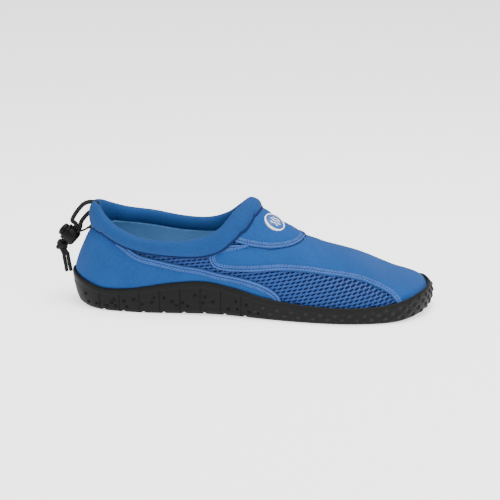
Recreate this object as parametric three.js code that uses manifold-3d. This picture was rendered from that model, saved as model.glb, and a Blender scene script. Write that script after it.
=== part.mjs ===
// A pull-on water shoe for the right foot: neoprene and mesh upper in a moulded rubber cup sole.
// Millimetres. +X points to the toe, +Y to the inner side of the foot and +Z up, floor at zero.
import * as THREE from 'three';
import { mergeVertices } from 'three/addons/utils/BufferGeometryUtils.js';
import Module from 'manifold-3d';

const wasm = await Module();
wasm.setup();

// Driving sizes
const LENGTH = 280;             // sole, heel to toe
const BALL_WIDTH = 100;         // sole, across the ball
const INSTEP_HEIGHT = 78.5;     // front of the opening above the floor
const HEEL_HEIGHT = 61;         // upper's edge at the back, under the collar
const COLLAR_HEIGHT = 83.8;     // highest point of the rolled collar
const LIP_HEIGHT = 27;          // rubber rim at the back of the heel
const TOE_SPRING = 4;           // lift of the sole at the toe tip
const TOE_LIFT_FROM = 0.86;     // share of the length where that lift starts
const ARCH = 1.2;               // lift of the sole's waist
const ARCH_ENDS = [0.2, 0.6];   // shares of the length between which it lies
const FLOOR = 5.5;              // rubber under the foot
const LIP_WALL = 3.2;           // rubber around the upper
const TOE_WALL = 5.6;           // the same at the toe tip
const TOE_WALL_FROM = 0.88;     // share of the length where it starts to thicken
const TUCK = 3;                 // depth that the upper's round form starts below the rubber rim
const FEATHER = 2;              // how much narrower the upper stands on the floor of the cup
const WALL = 2;                 // neoprene and mesh wall
const PANEL = 1.6;              // panel sewn over the wall
const INSOLE = 4;
const COLLAR_THICKNESS = 8;     // across the roll
const COLLAR_WALL = 2.1;        // neoprene around the drawcord's channel
const COLLAR_BULGE = 1;         // how far the roll stands out from the wall's line
const COLLAR_SINK = 2.4;        // of the roll's section, cut off flat at its seat
const SLIT = 3.8;               // between the collar's two ends, at the back
const CORD = 3;                 // drawcord
const BADGE = 18;
const BADGE_STATION = 9.55;     // row of the tables that it lies on
const BADGE_LEVEL = 0.78;       // 1 at the ridge
const BADGE_PLATE = 1;
const BADGE_RIM = 1.4;          // width of the raised rim
const BADGE_RIM_RISE = 0.6;
const GAP = 0.3;                // between pieces that touch

// Faces
const STATIONS = 64;            // around the foot
const LEVELS = 8;               // up the wall to the ridge
const CUT_STEPS = 2;            // between two rows of an edge's table
const COLLAR_SECTIONS = 30;

function table(names, rows) {
  return rows.map((row) => Object.fromEntries(names.map((name, i) => [name, row[i]])));
}

// The sole from the heel to the toe tip. at is a share of the length, lateral and medial are
// shares of the ball width, and lip is the rubber rim's height as a share of the heel's.
const SOLE = table(['at', 'lateral', 'medial', 'lip'], [
  [0.000, 0.000, 0.000, 1.000],
  [0.012, -0.125, 0.125, 0.950],
  [0.045, -0.235, 0.235, 0.835],
  [0.100, -0.310, 0.310, 0.690],
  [0.180, -0.350, 0.345, 0.730],
  [0.290, -0.365, 0.345, 0.930],
  [0.380, -0.375, 0.320, 1.015],
  [0.460, -0.395, 0.310, 0.890],
  [0.540, -0.430, 0.335, 0.680],
  [0.620, -0.470, 0.395, 0.565],
  [0.700, -0.497, 0.460, 0.510],
  [0.780, -0.498, 0.500, 0.500],
  [0.860, -0.455, 0.488, 0.530],
  [0.925, -0.370, 0.438, 0.630],
  [0.972, -0.215, 0.345, 0.725],
  [0.993, -0.050, 0.240, 0.720],
  [1.000, 0.120, 0.120, 0.705],
]);
const LAST_ROW = SOLE.length - 1;
const AROUND = 2 * LAST_ROW;

// The last's top line over each row of the sole: at as a share of the length, side as a share of
// the ball width, up as a share of the instep's height. Behind the opening's front, at row 9,
// it only closes the form. The other columns shape the line from the rim up to it: lean and full
// set its start, swell its bulge as a share of the ball width, and along, across and drop its end.
const TOP = table(['at', 'side', 'up', 'lean', 'swell', 'full', 'along', 'across', 'drop'], [
  [0.200, 0.000, 1.172, 0.10, 0.000, 0.37, 0.57, 0.95, 0.20],
  [0.204, 0.000, 1.172, 0.10, 0.005, 0.37, 0.59, 0.95, 0.20],
  [0.214, 0.000, 1.172, 0.10, 0.010, 0.36, 0.63, 0.93, 0.19],
  [0.236, 0.000, 1.160, 0.09, 0.020, 0.34, 0.69, 0.93, 0.15],
  [0.279, 0.000, 1.146, 0.04, 0.028, 0.38, 0.82, 0.95, 0.09],
  [0.332, 0.005, 1.134, 0.02, 0.030, 0.42, 0.88, 0.95, 0.03],
  [0.382, 0.010, 1.108, 0.02, 0.026, 0.45, 0.80, 0.92, 0.00],
  [0.429, 0.005, 1.080, 0.05, 0.018, 0.50, 0.50, 0.65, 0.00],
  [0.471, 0.000, 1.040, 0.15, 0.010, 0.54, 0.20, 0.36, 0.00],
  [0.520, 0.000, 0.975, 0.33, 0.005, 0.56, 0.00, 0.24, 0.00],
  [0.586, 0.000, 0.818, 0.33, 0.000, 0.56, 0.00, 0.20, 0.00],
  [0.671, 0.030, 0.648, 0.16, 0.000, 0.53, 0.00, 0.28, 0.00],
  [0.779, 0.060, 0.515, 0.07, 0.000, 0.54, 0.00, 0.44, 0.00],
  [0.864, 0.090, 0.370, 0.06, 0.000, 0.56, 0.00, 0.52, 0.00],
  [0.925, 0.104, 0.308, 0.05, 0.000, 0.56, 0.00, 0.55, 0.00],
  [0.960, 0.113, 0.270, 0.05, 0.000, 0.56, 0.00, 0.55, 0.00],
  [1.000, 0.120, 0.200, 0.00, 0.000, 0.50, 0.00, 0.50, 0.00],
]);

// The upper's edge under the collar, seen from the side: at is a share of the length, and the
// heights on either side are shares of the heel's height.
const EDGE = table(['at', 'lateral', 'medial'], [
  [-0.020, 1.060, 1.060],
  [0.065, 1.005, 1.005],
  [0.082, 1.005, 1.005],
  [0.110, 0.978, 0.990],
  [0.164, 0.878, 0.945],
  [0.221, 0.819, 0.900],
  [0.293, 0.791, 0.849],
  [0.368, 0.789, 0.840],
  [0.421, 0.845, 0.874],
  [0.454, 0.960, 0.965],
  [0.482, 1.066, 1.066],
  [0.502, 1.189, 1.180],
  [0.518, 1.279, 1.279],
  [0.523, 1.420, 1.420],
]);

// The collar's upper rim over rows 0 to 9: at a share of the length, the sides of the ball
// width, the heights of the collar's.
const RIM = table(['at', 'lateral', 'medial', 'lateralUp', 'medialUp'], [
  [0.067, 0.000, 0.000, 0.955, 0.955],
  [0.082, -0.085, 0.085, 0.937, 0.937],
  [0.104, -0.160, 0.160, 0.872, 0.889],
  [0.146, -0.235, 0.250, 0.776, 0.829],
  [0.214, -0.300, 0.300, 0.700, 0.788],
  [0.296, -0.318, 0.315, 0.682, 0.737],
  [0.368, -0.308, 0.305, 0.716, 0.734],
  [0.421, -0.262, 0.255, 0.788, 0.794],
  [0.457, -0.165, 0.170, 0.921, 0.889],
  [0.484, 0.010, 0.010, 0.982, 0.982],
]);

// Outlines of the sewn panels, seen from the side: at as a share of the length, up as a share of
// the instep's height.
const HEEL_PANEL_TOP = table(['at', 'up'], [
  [0.118, 0.860],
  [0.143, 0.726],
  [0.175, 0.642],
  [0.209, 0.573],
  [0.277, 0.522],
  [0.329, 0.489],
  [0.371, 0.471],
  [0.423, 0.427],
  [0.477, 0.395],
  [0.531, 0.344],
  [0.571, 0.280],
  [0.592, 0.205],
  [0.600, 0.100],
]);
const VAMP_EDGE = table(['at', 'up'], [
  [0.920, 0.090],
  [0.904, 0.185],
  [0.886, 0.255],
  [0.857, 0.311],
  [0.814, 0.369],
  [0.774, 0.401],
  [0.707, 0.433],
  [0.650, 0.459],
  [0.582, 0.471],
  [0.504, 0.462],
  [0.437, 0.471],
  [0.409, 0.510],
  [0.400, 0.586],
  [0.409, 0.650],
  [0.446, 0.692],
  [0.484, 0.690],
  [0.499, 0.690],
]);
const INSTEP_EDGE = table(['at', 'up'], [
  [0.440, 0.775],
  [0.452, 0.752],
  [0.475, 0.722],
  [0.498, 0.697],
  [0.550, 0.663],
  [0.589, 0.659],
  [0.625, 0.673],
  [0.652, 0.707],
]);
const SEAM = 0.8;               // between the instep panel and the vamp

// The sole's side: up is a share of the wall's height, in is how far that line lies inside the
// outline, and heelIn and toeIn are added to it around the heel and around the toe.
const SIDEWALL = table(['up', 'in', 'heelIn', 'toeIn'], [
  [0.00, 4.2, 4.2, 0.0],
  [0.10, 2.0, 2.6, 0.0],
  [0.32, 0.8, 1.6, 0.0],
  [0.62, 0.1, 0.5, 0.3],
  [0.92, 0.0, 0.0, 1.9],
  [1.00, 0.5, 0.0, 2.4],
]);
const END_ROWS = 3;             // rows of the sole over which those two fade out
const RIB_PITCH = 15.7;         // grooves of the rear sidewall and channels of the tread
const RIB_FROM = 0.104;         // share of the length at the rearmost channel
const CHANNELS = 8;
const CHANNEL_WIDTH = 3;
const CHANNEL_DEPTH = 1.5;
const GROOVE_WIDTH = 1.1;
const GROOVE_DEPTH = 0.9;
const GROOVE_SHIFT = -3;        // the grooves stand a little behind the channels
const GROOVE_MARGIN = 4.5;      // smooth rubber above a groove
const STUD = 3.6;               // round studs of the forefoot's side
const STUD_RISE = 1.2;
const STUD_PITCH = 11;
const STUD_ROWS = [0.3, 0.62];  // shares of the wall's height
const STUDS_FROM = 13.2;        // station rows between which the studs are solid
const STUDS_TO = 19.4;

// Drawcord and lock, as points chosen by hand behind the heel
const LOCK_FACE = new THREE.Vector3(-148.0, 0, 57.4);
const LOCK_AXIS = new THREE.Vector3(0.757, 0, -0.654).normalize();
const LOCK_ACROSS = new THREE.Vector3(0.654, 0, 0.757).normalize();
const BUTTON = 10.2;
const BUTTON_LENGTH = 4.4;
const BUTTON_OUT = 3.2;         // of it stands out of the barrel
const BARREL = 13.6;
const BARREL_LENGTH = 11.6;
const BARREL_ROUND = 2.2;
const CORD_CLEARANCE = 0.4;
const STRAND_SPACING = 3.55;    // the two strands in the lock's slot
const SLOT_CENTRE = 8.9;        // from the button's face
const KNOT = { across: 8.6, along: 10, high: 10.4 };
const TAIL = 2.7;
const KEEPER = 1.5;             // thin strand from the tab to the lock
const KEEPER_SIDE = 4;          // where it meets the barrel, beside the drawcord
const TAB = { width: 5, depth: 1.6, height: 5 };
const TAB_UNDER = 3.2;          // its middle below the upper's edge

const half = LENGTH / 2;
const alongX = (at) => at * LENGTH - half;

// Smooth curve through values at whole numbers
function smooth(read, a) {
  const k = Math.floor(a);
  const f = a - k;
  const [p, q, r, s] = [read(k - 1), read(k), read(k + 1), read(k + 2)];
  const slopeIn = (r - p) / 2;
  const slopeOut = (s - q) / 2;
  return q + f * (slopeIn + f * (3 * (r - q) - 2 * slopeIn - slopeOut
    + f * (slopeIn + slopeOut - 2 * (r - q))));
}

// Rows run from the heel along the outer side to the toe and back along the inner side.
function rowAround(k, last) {
  const i = ((k % (2 * last)) + 2 * last) % (2 * last);
  return i <= last ? { index: i, side: 'lateral' } : { index: 2 * last - i, side: 'medial' };
}

function soleValue(a, read) {
  return smooth((k) => {
    const { index, side } = rowAround(k, LAST_ROW);
    return read(SOLE[index], TOP[index], side);
  }, a);
}

const share = (value, from, to) => Math.min(Math.max((value - from) / (to - from), 0), 1);
const lift = (x) => {
  const toe = share(x, alongX(TOE_LIFT_FROM), half);
  const waist = share(x, ...ARCH_ENDS.map(alongX));
  return TOE_SPRING * toe ** 2 + ARCH * Math.sin(Math.PI * waist) ** 2;
};
const lipWall = (x) => LIP_WALL
  + (TOE_WALL - LIP_WALL) * share(x, alongX(TOE_WALL_FROM), half) ** 2;
const lipHeight = (a) => soleValue(a, (sole) => sole.lip * LIP_HEIGHT);
// How near a station is to one end of the shoe: 1 at the end, 0 from END_ROWS on
const nearness = (rows) => Math.cos(Math.PI / 2 * Math.min(Math.abs(rows) / END_ROWS, 1));
const wallInset = (row, a) => row.in + row.heelIn * nearness(Math.min(a, AROUND - a))
  + row.toeIn * nearness(a - LAST_ROW);

// A point of the sole's outline, moved in by inset, and the way out of it
function outline(a, inset, walls = 0) {
  const at = (b) => new THREE.Vector2(
    soleValue(b, (sole) => alongX(sole.at)),
    soleValue(b, (sole, top, side) => sole[side] * BALL_WIDTH),
  );
  const tangent = at(a + 0.05).sub(at(a - 0.05)).normalize();
  const outward = new THREE.Vector2(tangent.y, -tangent.x);
  const edge = at(a);
  const point = edge.clone().addScaledVector(outward, -inset - walls * lipWall(edge.x));
  return { point, outward };
}

// Where the upper stands on the cup's floor, and where its round form starts
function foot(a) {
  const { point } = outline(a, FEATHER, 1);
  return new THREE.Vector3(point.x, point.y, FLOOR + lift(point.x));
}
function girth(a) {
  const { point } = outline(a, 0, 1);
  return new THREE.Vector3(point.x, point.y, lipHeight(a) - TUCK);
}
const TIP = girth(LAST_ROW);

function ridge(a) {
  const read = (column, scale) => soleValue(a, (sole, top) => scale(top[column]));
  const tipShare = (value, tip) => (top) => (top.at === 1 ? tip : value(top));
  return new THREE.Vector3(
    soleValue(a, (sole, top) => tipShare((t) => alongX(t.at), TIP.x)(top)),
    soleValue(a, (sole, top) => tipShare((t) => t.side * BALL_WIDTH, TIP.y)(top)),
    soleValue(a, (sole, top) => tipShare((t) => t.up * INSTEP_HEIGHT, TIP.z)(top)),
  );
}

// One point of the last. t runs from -1 at the cup's floor through 0 at the girth to 1 at the
// ridge, and on past it down the other side.
function lastPoint(a, t) {
  if (t > 1) return lastPoint(AROUND - a, 2 - t);
  const low = girth(a);
  if (t < 0) return foot(a).lerp(low, t + 1);
  const top = ridge(a);
  const shape = (column) => soleValue(a, (sole, row) => row[column]);
  const rise = top.z - low.z;
  const { outward } = outline(a, 0);
  const swell = shape('swell') * BALL_WIDTH;
  const start = new THREE.Vector3(
    low.x + (top.x - low.x) * shape('lean') + outward.x * swell,
    low.y + (top.y - low.y) * shape('lean') + outward.y * swell,
    low.z + rise * shape('full'),
  );
  const end = new THREE.Vector3(
    top.x + (low.x - top.x) * shape('along'),
    top.y + (low.y - top.y) * shape('across'),
    top.z - rise * shape('drop'),
  );
  return new THREE.CubicBezierCurve3(low, start, end, top).getPoint(t);
}

// The same point moved out of the surface
function upperPoint(a, t, offset) {
  const point = lastPoint(a, t);
  const fromTip = a - LAST_ROW;
  if (Math.abs(fromTip) < 0.05 && t >= 0) {
    const normal = new THREE.Vector3(1, 0, 0.35).normalize();
    return point.addScaledVector(normal, offset);
  }
  const step = 0.02;
  const alongA = lastPoint(a + step, t).sub(lastPoint(a - step, t));
  const alongT = lastPoint(a, t + step).sub(lastPoint(a, Math.max(t - step, -1)));
  return point.addScaledVector(alongA.cross(alongT).normalize(), offset);
}

function solid(geometry) {
  const plain = geometry.clone();
  plain.deleteAttribute('normal');
  plain.deleteAttribute('uv');
  const merged = mergeVertices(plain, 1e-4);
  const index = merged.index.array;
  const kept = [];
  for (let i = 0; i < index.length; i += 3) {
    const [p, q, r] = [index[i], index[i + 1], index[i + 2]];
    if (p !== q && q !== r && r !== p) kept.push(p, q, r);
  }
  return new wasm.Manifold(new wasm.Mesh({
    numProp: 3,
    vertProperties: new Float32Array(merged.attributes.position.array),
    triVerts: new Uint32Array(kept),
  }));
}

function geometryOf(manifold) {
  const mesh = manifold.getMesh();
  const geometry = new THREE.BufferGeometry();
  geometry.setAttribute('position', new THREE.BufferAttribute(mesh.vertProperties, 3));
  geometry.setIndex(new THREE.BufferAttribute(mesh.triVerts, 1));
  return geometry;
}

// A form from rings of points around the foot, lowest ring first, closed below from side to side.
// Where the top ring isn't the ridge, it is closed from side to side as well.
function ringForm(rings, closeTop) {
  const count = rings[0].length;
  const points = rings.flat();
  const faces = [];
  const at = (ring, i) => ring * count + (i % count);
  for (let ring = 0; ring + 1 < rings.length; ring += 1) {
    for (let i = 0; i < count; i += 1) {
      faces.push(at(ring, i), at(ring, i + 1), at(ring + 1, i + 1));
      faces.push(at(ring, i), at(ring + 1, i + 1), at(ring + 1, i));
    }
  }
  const top = rings.length - 1;
  for (let i = 0; i < count / 2; i += 1) {
    const mirror = count - i;
    faces.push(at(0, i + 1), at(0, i), at(0, mirror), at(0, i + 1), at(0, mirror), at(0, mirror - 1));
    if (closeTop) {
      faces.push(at(top, i), at(top, i + 1), at(top, mirror));
      faces.push(at(top, i + 1), at(top, mirror - 1), at(top, mirror));
    }
  }
  const geometry = new THREE.BufferGeometry();
  const flat = points.flatMap((point) => [point.x, point.y, point.z]);
  geometry.setAttribute('position', new THREE.Float32BufferAttribute(flat, 3));
  geometry.setIndex(faces);
  return solid(geometry);
}

const stations = Array.from({ length: STATIONS }, (_, i) => i * AROUND / STATIONS);

// The whole last, moved out by offset, with its bottom below the cup's floor by drop
function lastForm(offset, drop) {
  const bottom = stations.map((a) => {
    const point = upperPoint(a, -1, offset);
    return point.setZ(FLOOR + lift(point.x) - drop);
  });
  const rings = [bottom];
  for (let level = 0; level <= LEVELS; level += 1) {
    rings.push(stations.map((a) => upperPoint(a, level / LEVELS, offset)));
  }
  return ringForm(rings, false);
}

// The rubber cup's outside
function cupForm() {
  const rings = SIDEWALL.map((row) => stations.map((a) => {
    const { point } = outline(a, wallInset(row, a));
    const low = lift(point.x);
    return new THREE.Vector3(point.x, point.y, low + (lipHeight(a) - low) * row.up);
  }));
  return ringForm(rings, true);
}

// Everything below the rubber rim
function rimForm() {
  const ring = (inset, height) => stations.map((a) => {
    const { point } = outline(a, inset);
    return new THREE.Vector3(point.x, point.y, height(a));
  });
  const rim = SIDEWALL[SIDEWALL.length - 1];
  return ringForm([ring(-LIP_WALL, () => -FLOOR), ring(rim.in, (a) => lipHeight(a) + GAP)], true);
}

// A straight wall across the shoe from an outline in side view
function sideCut(points, fromY, toY) {
  const shape = new THREE.Shape(points.map(([x, z]) => new THREE.Vector2(x, z)));
  const geometry = new THREE.ExtrudeGeometry(shape, { depth: toY - fromY, bevelEnabled: false });
  geometry.rotateX(Math.PI / 2);
  geometry.translate(0, toY, 0);
  return solid(geometry);
}

// Rows of an edge, joined by a smooth curve
function edgeLine(rows, column, height) {
  const read = (name) => (k) => rows[Math.min(Math.max(k, 0), rows.length - 1)][name];
  const line = [];
  for (let i = 0; i <= (rows.length - 1) * CUT_STEPS; i += 1) {
    const a = i / CUT_STEPS;
    line.push([alongX(smooth(read('at'), a)), smooth(read(column), a) * height]);
  }
  return line;
}

const OVER = 2 * COLLAR_HEIGHT;
const BEHIND = -LENGTH;
const BESIDE = BALL_WIDTH;

function openingForm(raise) {
  const cut = (column) => {
    const line = edgeLine(EDGE, column, HEEL_HEIGHT).map(([x, z]) => [x - raise, z + raise]);
    const [frontX] = line[line.length - 1];
    return [...line, [frontX, OVER], [BEHIND, OVER], [BEHIND, line[0][1]]];
  };
  return sideCut(cut('lateral'), -BESIDE, 0).add(sideCut(cut('medial'), 0, BESIDE));
}

function edgeHeight(x, side) {
  const line = edgeLine(EDGE, side, HEEL_HEIGHT);
  const next = line.findIndex(([px]) => px > x);
  if (next < 1) return next === 0 ? line[0][1] : OVER;
  const [x0, z0] = line[next - 1];
  const [x1, z1] = line[next];
  return z0 + (z1 - z0) * (x - x0) / (x1 - x0);
}

// The highest level of a line of the last whose point is still below a height
function levelBelow(a, height) {
  let low = 0;
  let high = 1;
  for (let step = 0; step < 24; step += 1) {
    const middle = (low + high) / 2;
    const point = lastPoint(a, middle);
    if (point.z < height(point.x)) low = middle;
    else high = middle;
  }
  return high;
}

// Where a line of the last meets the upper's edge
function edgePoint(a) {
  const side = a <= LAST_ROW ? 'lateral' : 'medial';
  return lastPoint(a, levelBelow(a, (x) => edgeHeight(x, side)));
}

function outsole() {
  const inside = lastForm(GAP, 0);
  let body = cupForm().subtract(inside);
  const cuts = [];
  for (let i = 0; i < CHANNELS; i += 1) {
    const x = alongX(RIB_FROM) + i * RIB_PITCH;
    const w = CHANNEL_WIDTH / 2;
    cuts.push(sideCut([[x - w, -1], [x + w, -1], [x + w, 0], [x, CHANNEL_DEPTH], [x - w, 0]],
      -BESIDE, BESIDE));
    for (const a of [stationAt(x + GROOVE_SHIFT, 'lateral'), stationAt(x + GROOVE_SHIFT, 'medial')]) {
      const { point, outward } = outline(a, 0);
      const tall = lipHeight(a) - GROOVE_MARGIN;
      const groove = new THREE.BoxGeometry(2 * GROOVE_DEPTH, GROOVE_WIDTH, tall);
      groove.translate(0, 0, tall / 2 + CHANNEL_DEPTH);
      groove.rotateZ(Math.atan2(outward.y, outward.x));
      groove.translate(point.x, point.y, 0);
      cuts.push(solid(groove));
    }
  }
  for (const cut of cuts) body = body.subtract(cut);
  for (const stud of studs()) body = body.add(stud);
  return body;
}

// The station whose outline point has a given place along the shoe
function stationAt(x, side) {
  let low = side === 'lateral' ? 0 : LAST_ROW;
  let high = low + LAST_ROW;
  for (let step = 0; step < 24; step += 1) {
    const middle = (low + high) / 2;
    const behind = outline(middle, 0).point.x < x;
    if (behind === (side === 'lateral')) low = middle;
    else high = middle;
  }
  return low;
}

function sidewallPoint(a, up) {
  const next = SIDEWALL.findIndex((row) => row.up > up);
  const [p, q] = [SIDEWALL[next - 1], SIDEWALL[next]];
  const [low, high] = [wallInset(p, a), wallInset(q, a)];
  const { point, outward } = outline(a, low + (high - low) * (up - p.up) / (q.up - p.up));
  const bottom = lift(point.x);
  return { x: point.x, y: point.y, z: bottom + (lipHeight(a) - bottom) * up, outward };
}

// Studs around the toe, in two staggered rows
function studs() {
  const made = [];
  STUD_ROWS.forEach((up, row) => {
    let travelled = row * STUD_PITCH / 2;
    let before = sidewallPoint(STUDS_FROM, up);
    for (let a = STUDS_FROM; a <= STUDS_TO; a += 0.02) {
      const here = sidewallPoint(a, up);
      travelled += Math.hypot(here.x - before.x, here.y - before.y);
      before = here;
      if (travelled < STUD_PITCH) continue;
      travelled -= STUD_PITCH;
      const stud = new THREE.ConeGeometry(STUD / 2, 2 * STUD_RISE + STUD / 2, 6);
      stud.rotateZ(-Math.PI / 2);
      stud.translate(STUD_RISE - (2 * STUD_RISE + STUD / 2) / 2, 0, 0);
      stud.rotateZ(Math.atan2(here.outward.y, here.outward.x));
      stud.translate(here.x, here.y, here.z);
      made.push(solid(stud));
    }
  });
  return made;
}

function insole() {
  const inset = FEATHER + WALL + 2 * GAP;
  const ring = (up) => stations.map((a) => {
    const { point } = outline(a, inset, 1);
    return new THREE.Vector3(point.x, point.y, FLOOR + lift(point.x) + up);
  });
  return ringForm([ring(GAP), ring(GAP + INSOLE)], true);
}

function upper() {
  return lastForm(0, -GAP).subtract(lastForm(-WALL, FLOOR)).subtract(openingForm(0));
}

// A panel is a layer over the wall, above the rubber rim and outside the opening.
const layer = (inner, outer) => lastForm(outer, 0).subtract(lastForm(inner, 2 * FLOOR))
  .subtract(rimForm()).subtract(openingForm(0));
const panelLayer = layer(GAP, GAP + PANEL);

function heelPanel() {
  const line = edgeLine(HEEL_PANEL_TOP, 'up', INSTEP_HEIGHT);
  const shape = [...line, [line[line.length - 1][0], -1], [BEHIND, -1], [BEHIND, OVER], [line[0][0], OVER]];
  return panelLayer.intersect(sideCut(shape, -BESIDE, BESIDE));
}

function vampPanel() {
  const line = edgeLine(VAMP_EDGE, 'up', INSTEP_HEIGHT);
  const shape = [...line, [line[line.length - 1][0], OVER], [LENGTH, OVER], [LENGTH, -1], [line[0][0], -1]];
  return panelLayer.intersect(sideCut(shape, -BESIDE, BESIDE)).subtract(instepForm(SEAM));
}

function instepForm(grow) {
  const line = edgeLine(INSTEP_EDGE, 'up', INSTEP_HEIGHT).map(([x, z]) => [x, z - grow]);
  const [endX] = line[line.length - 1];
  const shape = [...line, [endX + grow, OVER], [line[0][0] - grow, OVER]];
  return sideCut(shape, -BESIDE, BESIDE);
}

// The collar's roll, or the channel in it: thickness across, shorter at the top of the section and
// shorter and raised below, over stations that start after the slit by overrun
function rollForm(thickness, shorter, raised, overrun, sides) {
  const rows = RIM.length - 1;
  const rim = (r, read) => smooth((k) => {
    const { index, side } = rowAround(k, rows);
    return read(RIM[index], side);
  }, r);
  const rimPoint = (r) => new THREE.Vector3(
    rim(r, (row) => alongX(row.at)),
    rim(r, (row, side) => row[side] * BALL_WIDTH),
    rim(r, (row, side) => row[`${side}Up`] * COLLAR_HEIGHT),
  );
  const base = (r) => edgePoint(r <= rows ? r : r + AROUND - 2 * rows);
  const sections = [];
  for (let i = 0; i <= COLLAR_SECTIONS; i += 1) {
    const r = overrun + 2 * (rows - overrun) * i / COLLAR_SECTIONS;
    const low = base(r);
    const high = rimPoint(r);
    const step = 0.05;
    const tangent = rimPoint(r + step).sub(rimPoint(r - step)).normalize();
    const up = high.clone().sub(low);
    const out = tangent.clone().cross(up).normalize();
    const reach = (up.length() + COLLAR_SINK) / 2;
    up.normalize();
    const middle = high.clone().addScaledVector(up, raised / 2 - reach)
      .addScaledVector(out, COLLAR_BULGE);
    sections.push(Array.from({ length: sides }, (_, k) => {
      const turn = 2 * Math.PI * k / sides;
      return middle.clone()
        .addScaledVector(up, (reach - shorter - raised / 2) * Math.sin(turn))
        .addScaledVector(out, thickness / 2 * Math.cos(turn));
    }));
  }
  return loftForm(sections);
}

// A tube through closed sections, with flat ends
function loftForm(sections) {
  const sides = sections[0].length;
  const faces = [];
  for (let i = 0; i + 1 < sections.length; i += 1) {
    for (let k = 0; k < sides; k += 1) {
      const next = (k + 1) % sides;
      faces.push(i * sides + k, (i + 1) * sides + k, (i + 1) * sides + next);
      faces.push(i * sides + k, (i + 1) * sides + next, i * sides + next);
    }
  }
  const end = (sections.length - 1) * sides;
  for (let k = 1; k + 1 < sides; k += 1) {
    faces.push(0, k, k + 1);
    faces.push(end, end + k + 1, end + k);
  }
  const geometry = new THREE.BufferGeometry();
  const flat = sections.flat().flatMap((point) => [point.x, point.y, point.z]);
  geometry.setAttribute('position', new THREE.Float32BufferAttribute(flat, 3));
  geometry.setIndex(faces);
  return solid(geometry);
}

function collar() {
  const slit = new THREE.BoxGeometry(LENGTH / 4, SLIT, OVER);
  slit.translate(-half, 0, OVER / 2);
  return rollForm(COLLAR_THICKNESS, 0, 0, 0.02, 10)
    .subtract(rollForm(COLLAR_THICKNESS - 2 * COLLAR_WALL, COLLAR_WALL, COLLAR_SINK, 0.01, 6))
    .intersect(openingForm(GAP))
    .subtract(solid(slit));
}

// The round badge on the outer side of the instep
function badge() {
  const seat = GAP + PANEL + GAP;
  const centre = upperPoint(BADGE_STATION, BADGE_LEVEL, seat);
  const normal = upperPoint(BADGE_STATION, BADGE_LEVEL, seat + 1).sub(centre).normalize();
  const disc = (diameter) => {
    const cylinder = new THREE.CylinderGeometry(diameter / 2, diameter / 2, BADGE, 20);
    cylinder.applyQuaternion(new THREE.Quaternion()
      .setFromUnitVectors(new THREE.Vector3(0, 1, 0), normal));
    cylinder.translate(centre.x, centre.y, centre.z);
    return solid(cylinder);
  };
  const plate = layer(seat, seat + BADGE_PLATE).intersect(disc(BADGE));
  const rim = layer(seat + BADGE_PLATE / 2, seat + BADGE_PLATE + BADGE_RIM_RISE)
    .intersect(disc(BADGE)).subtract(disc(BADGE - 2 * BADGE_RIM));
  return plate.add(rim);
}

// Places on the cord lock: from the button's face along its axis, and across it
function lockPoint(along, across, y) {
  return LOCK_FACE.clone().addScaledVector(LOCK_AXIS, along)
    .addScaledVector(LOCK_ACROSS, across).add(new THREE.Vector3(0, y, 0));
}

// Turns a shape made around +Y onto the lock's axis
const LOCK_PLACE = new THREE.Matrix4()
  .makeBasis(LOCK_ACROSS, LOCK_AXIS, new THREE.Vector3(0, 1, 0)).setPosition(LOCK_FACE);
const onLockAxis = (geometry) => geometry.applyMatrix4(LOCK_PLACE);

function lockBarrel() {
  const bore = BUTTON / 2 + GAP;
  const deep = BUTTON_LENGTH + GAP;
  const far = BUTTON_OUT + BARREL_LENGTH;
  const r = BARREL / 2;
  const profile = [[0, deep], [bore, deep], [bore, BUTTON_OUT], [r - 0.8, BUTTON_OUT],
    [r, BUTTON_OUT + 0.8], [r, far - BARREL_ROUND], [r - BARREL_ROUND * 0.3, far - BARREL_ROUND * 0.3],
    [r - BARREL_ROUND, far], [0, far]].map(([x, y]) => new THREE.Vector2(x, y));
  const barrel = solid(onLockAxis(new THREE.LatheGeometry(profile, 20)));
  const reach = (CORD + 2 * CORD_CLEARANCE) / 2;
  const slot = new THREE.BoxGeometry(2 * BARREL, STRAND_SPACING + 2 * reach, 2 * reach);
  slot.translate(0, SLOT_CENTRE, 0);
  return barrel.subtract(solid(onLockAxis(slot)));
}

function lockButton() {
  const r = BUTTON / 2;
  const profile = [[0, 0], [r - 0.6, 0], [r, 0.6], [r, BUTTON_LENGTH], [0, BUTTON_LENGTH]]
    .map(([x, y]) => new THREE.Vector2(x, y));
  return solid(onLockAxis(new THREE.LatheGeometry(profile, 16)));
}

const strandAlong = [SLOT_CENTRE - STRAND_SPACING / 2, SLOT_CENTRE + STRAND_SPACING / 2];
const KNOT_ACROSS = -(BARREL / 2 + GAP + KNOT.across / 2);
const KNOT_CENTRE = lockPoint(SLOT_CENTRE, KNOT_ACROSS, 0);
const strandEnd = KNOT_ACROSS + KNOT.across / 2 + GAP;

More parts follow.
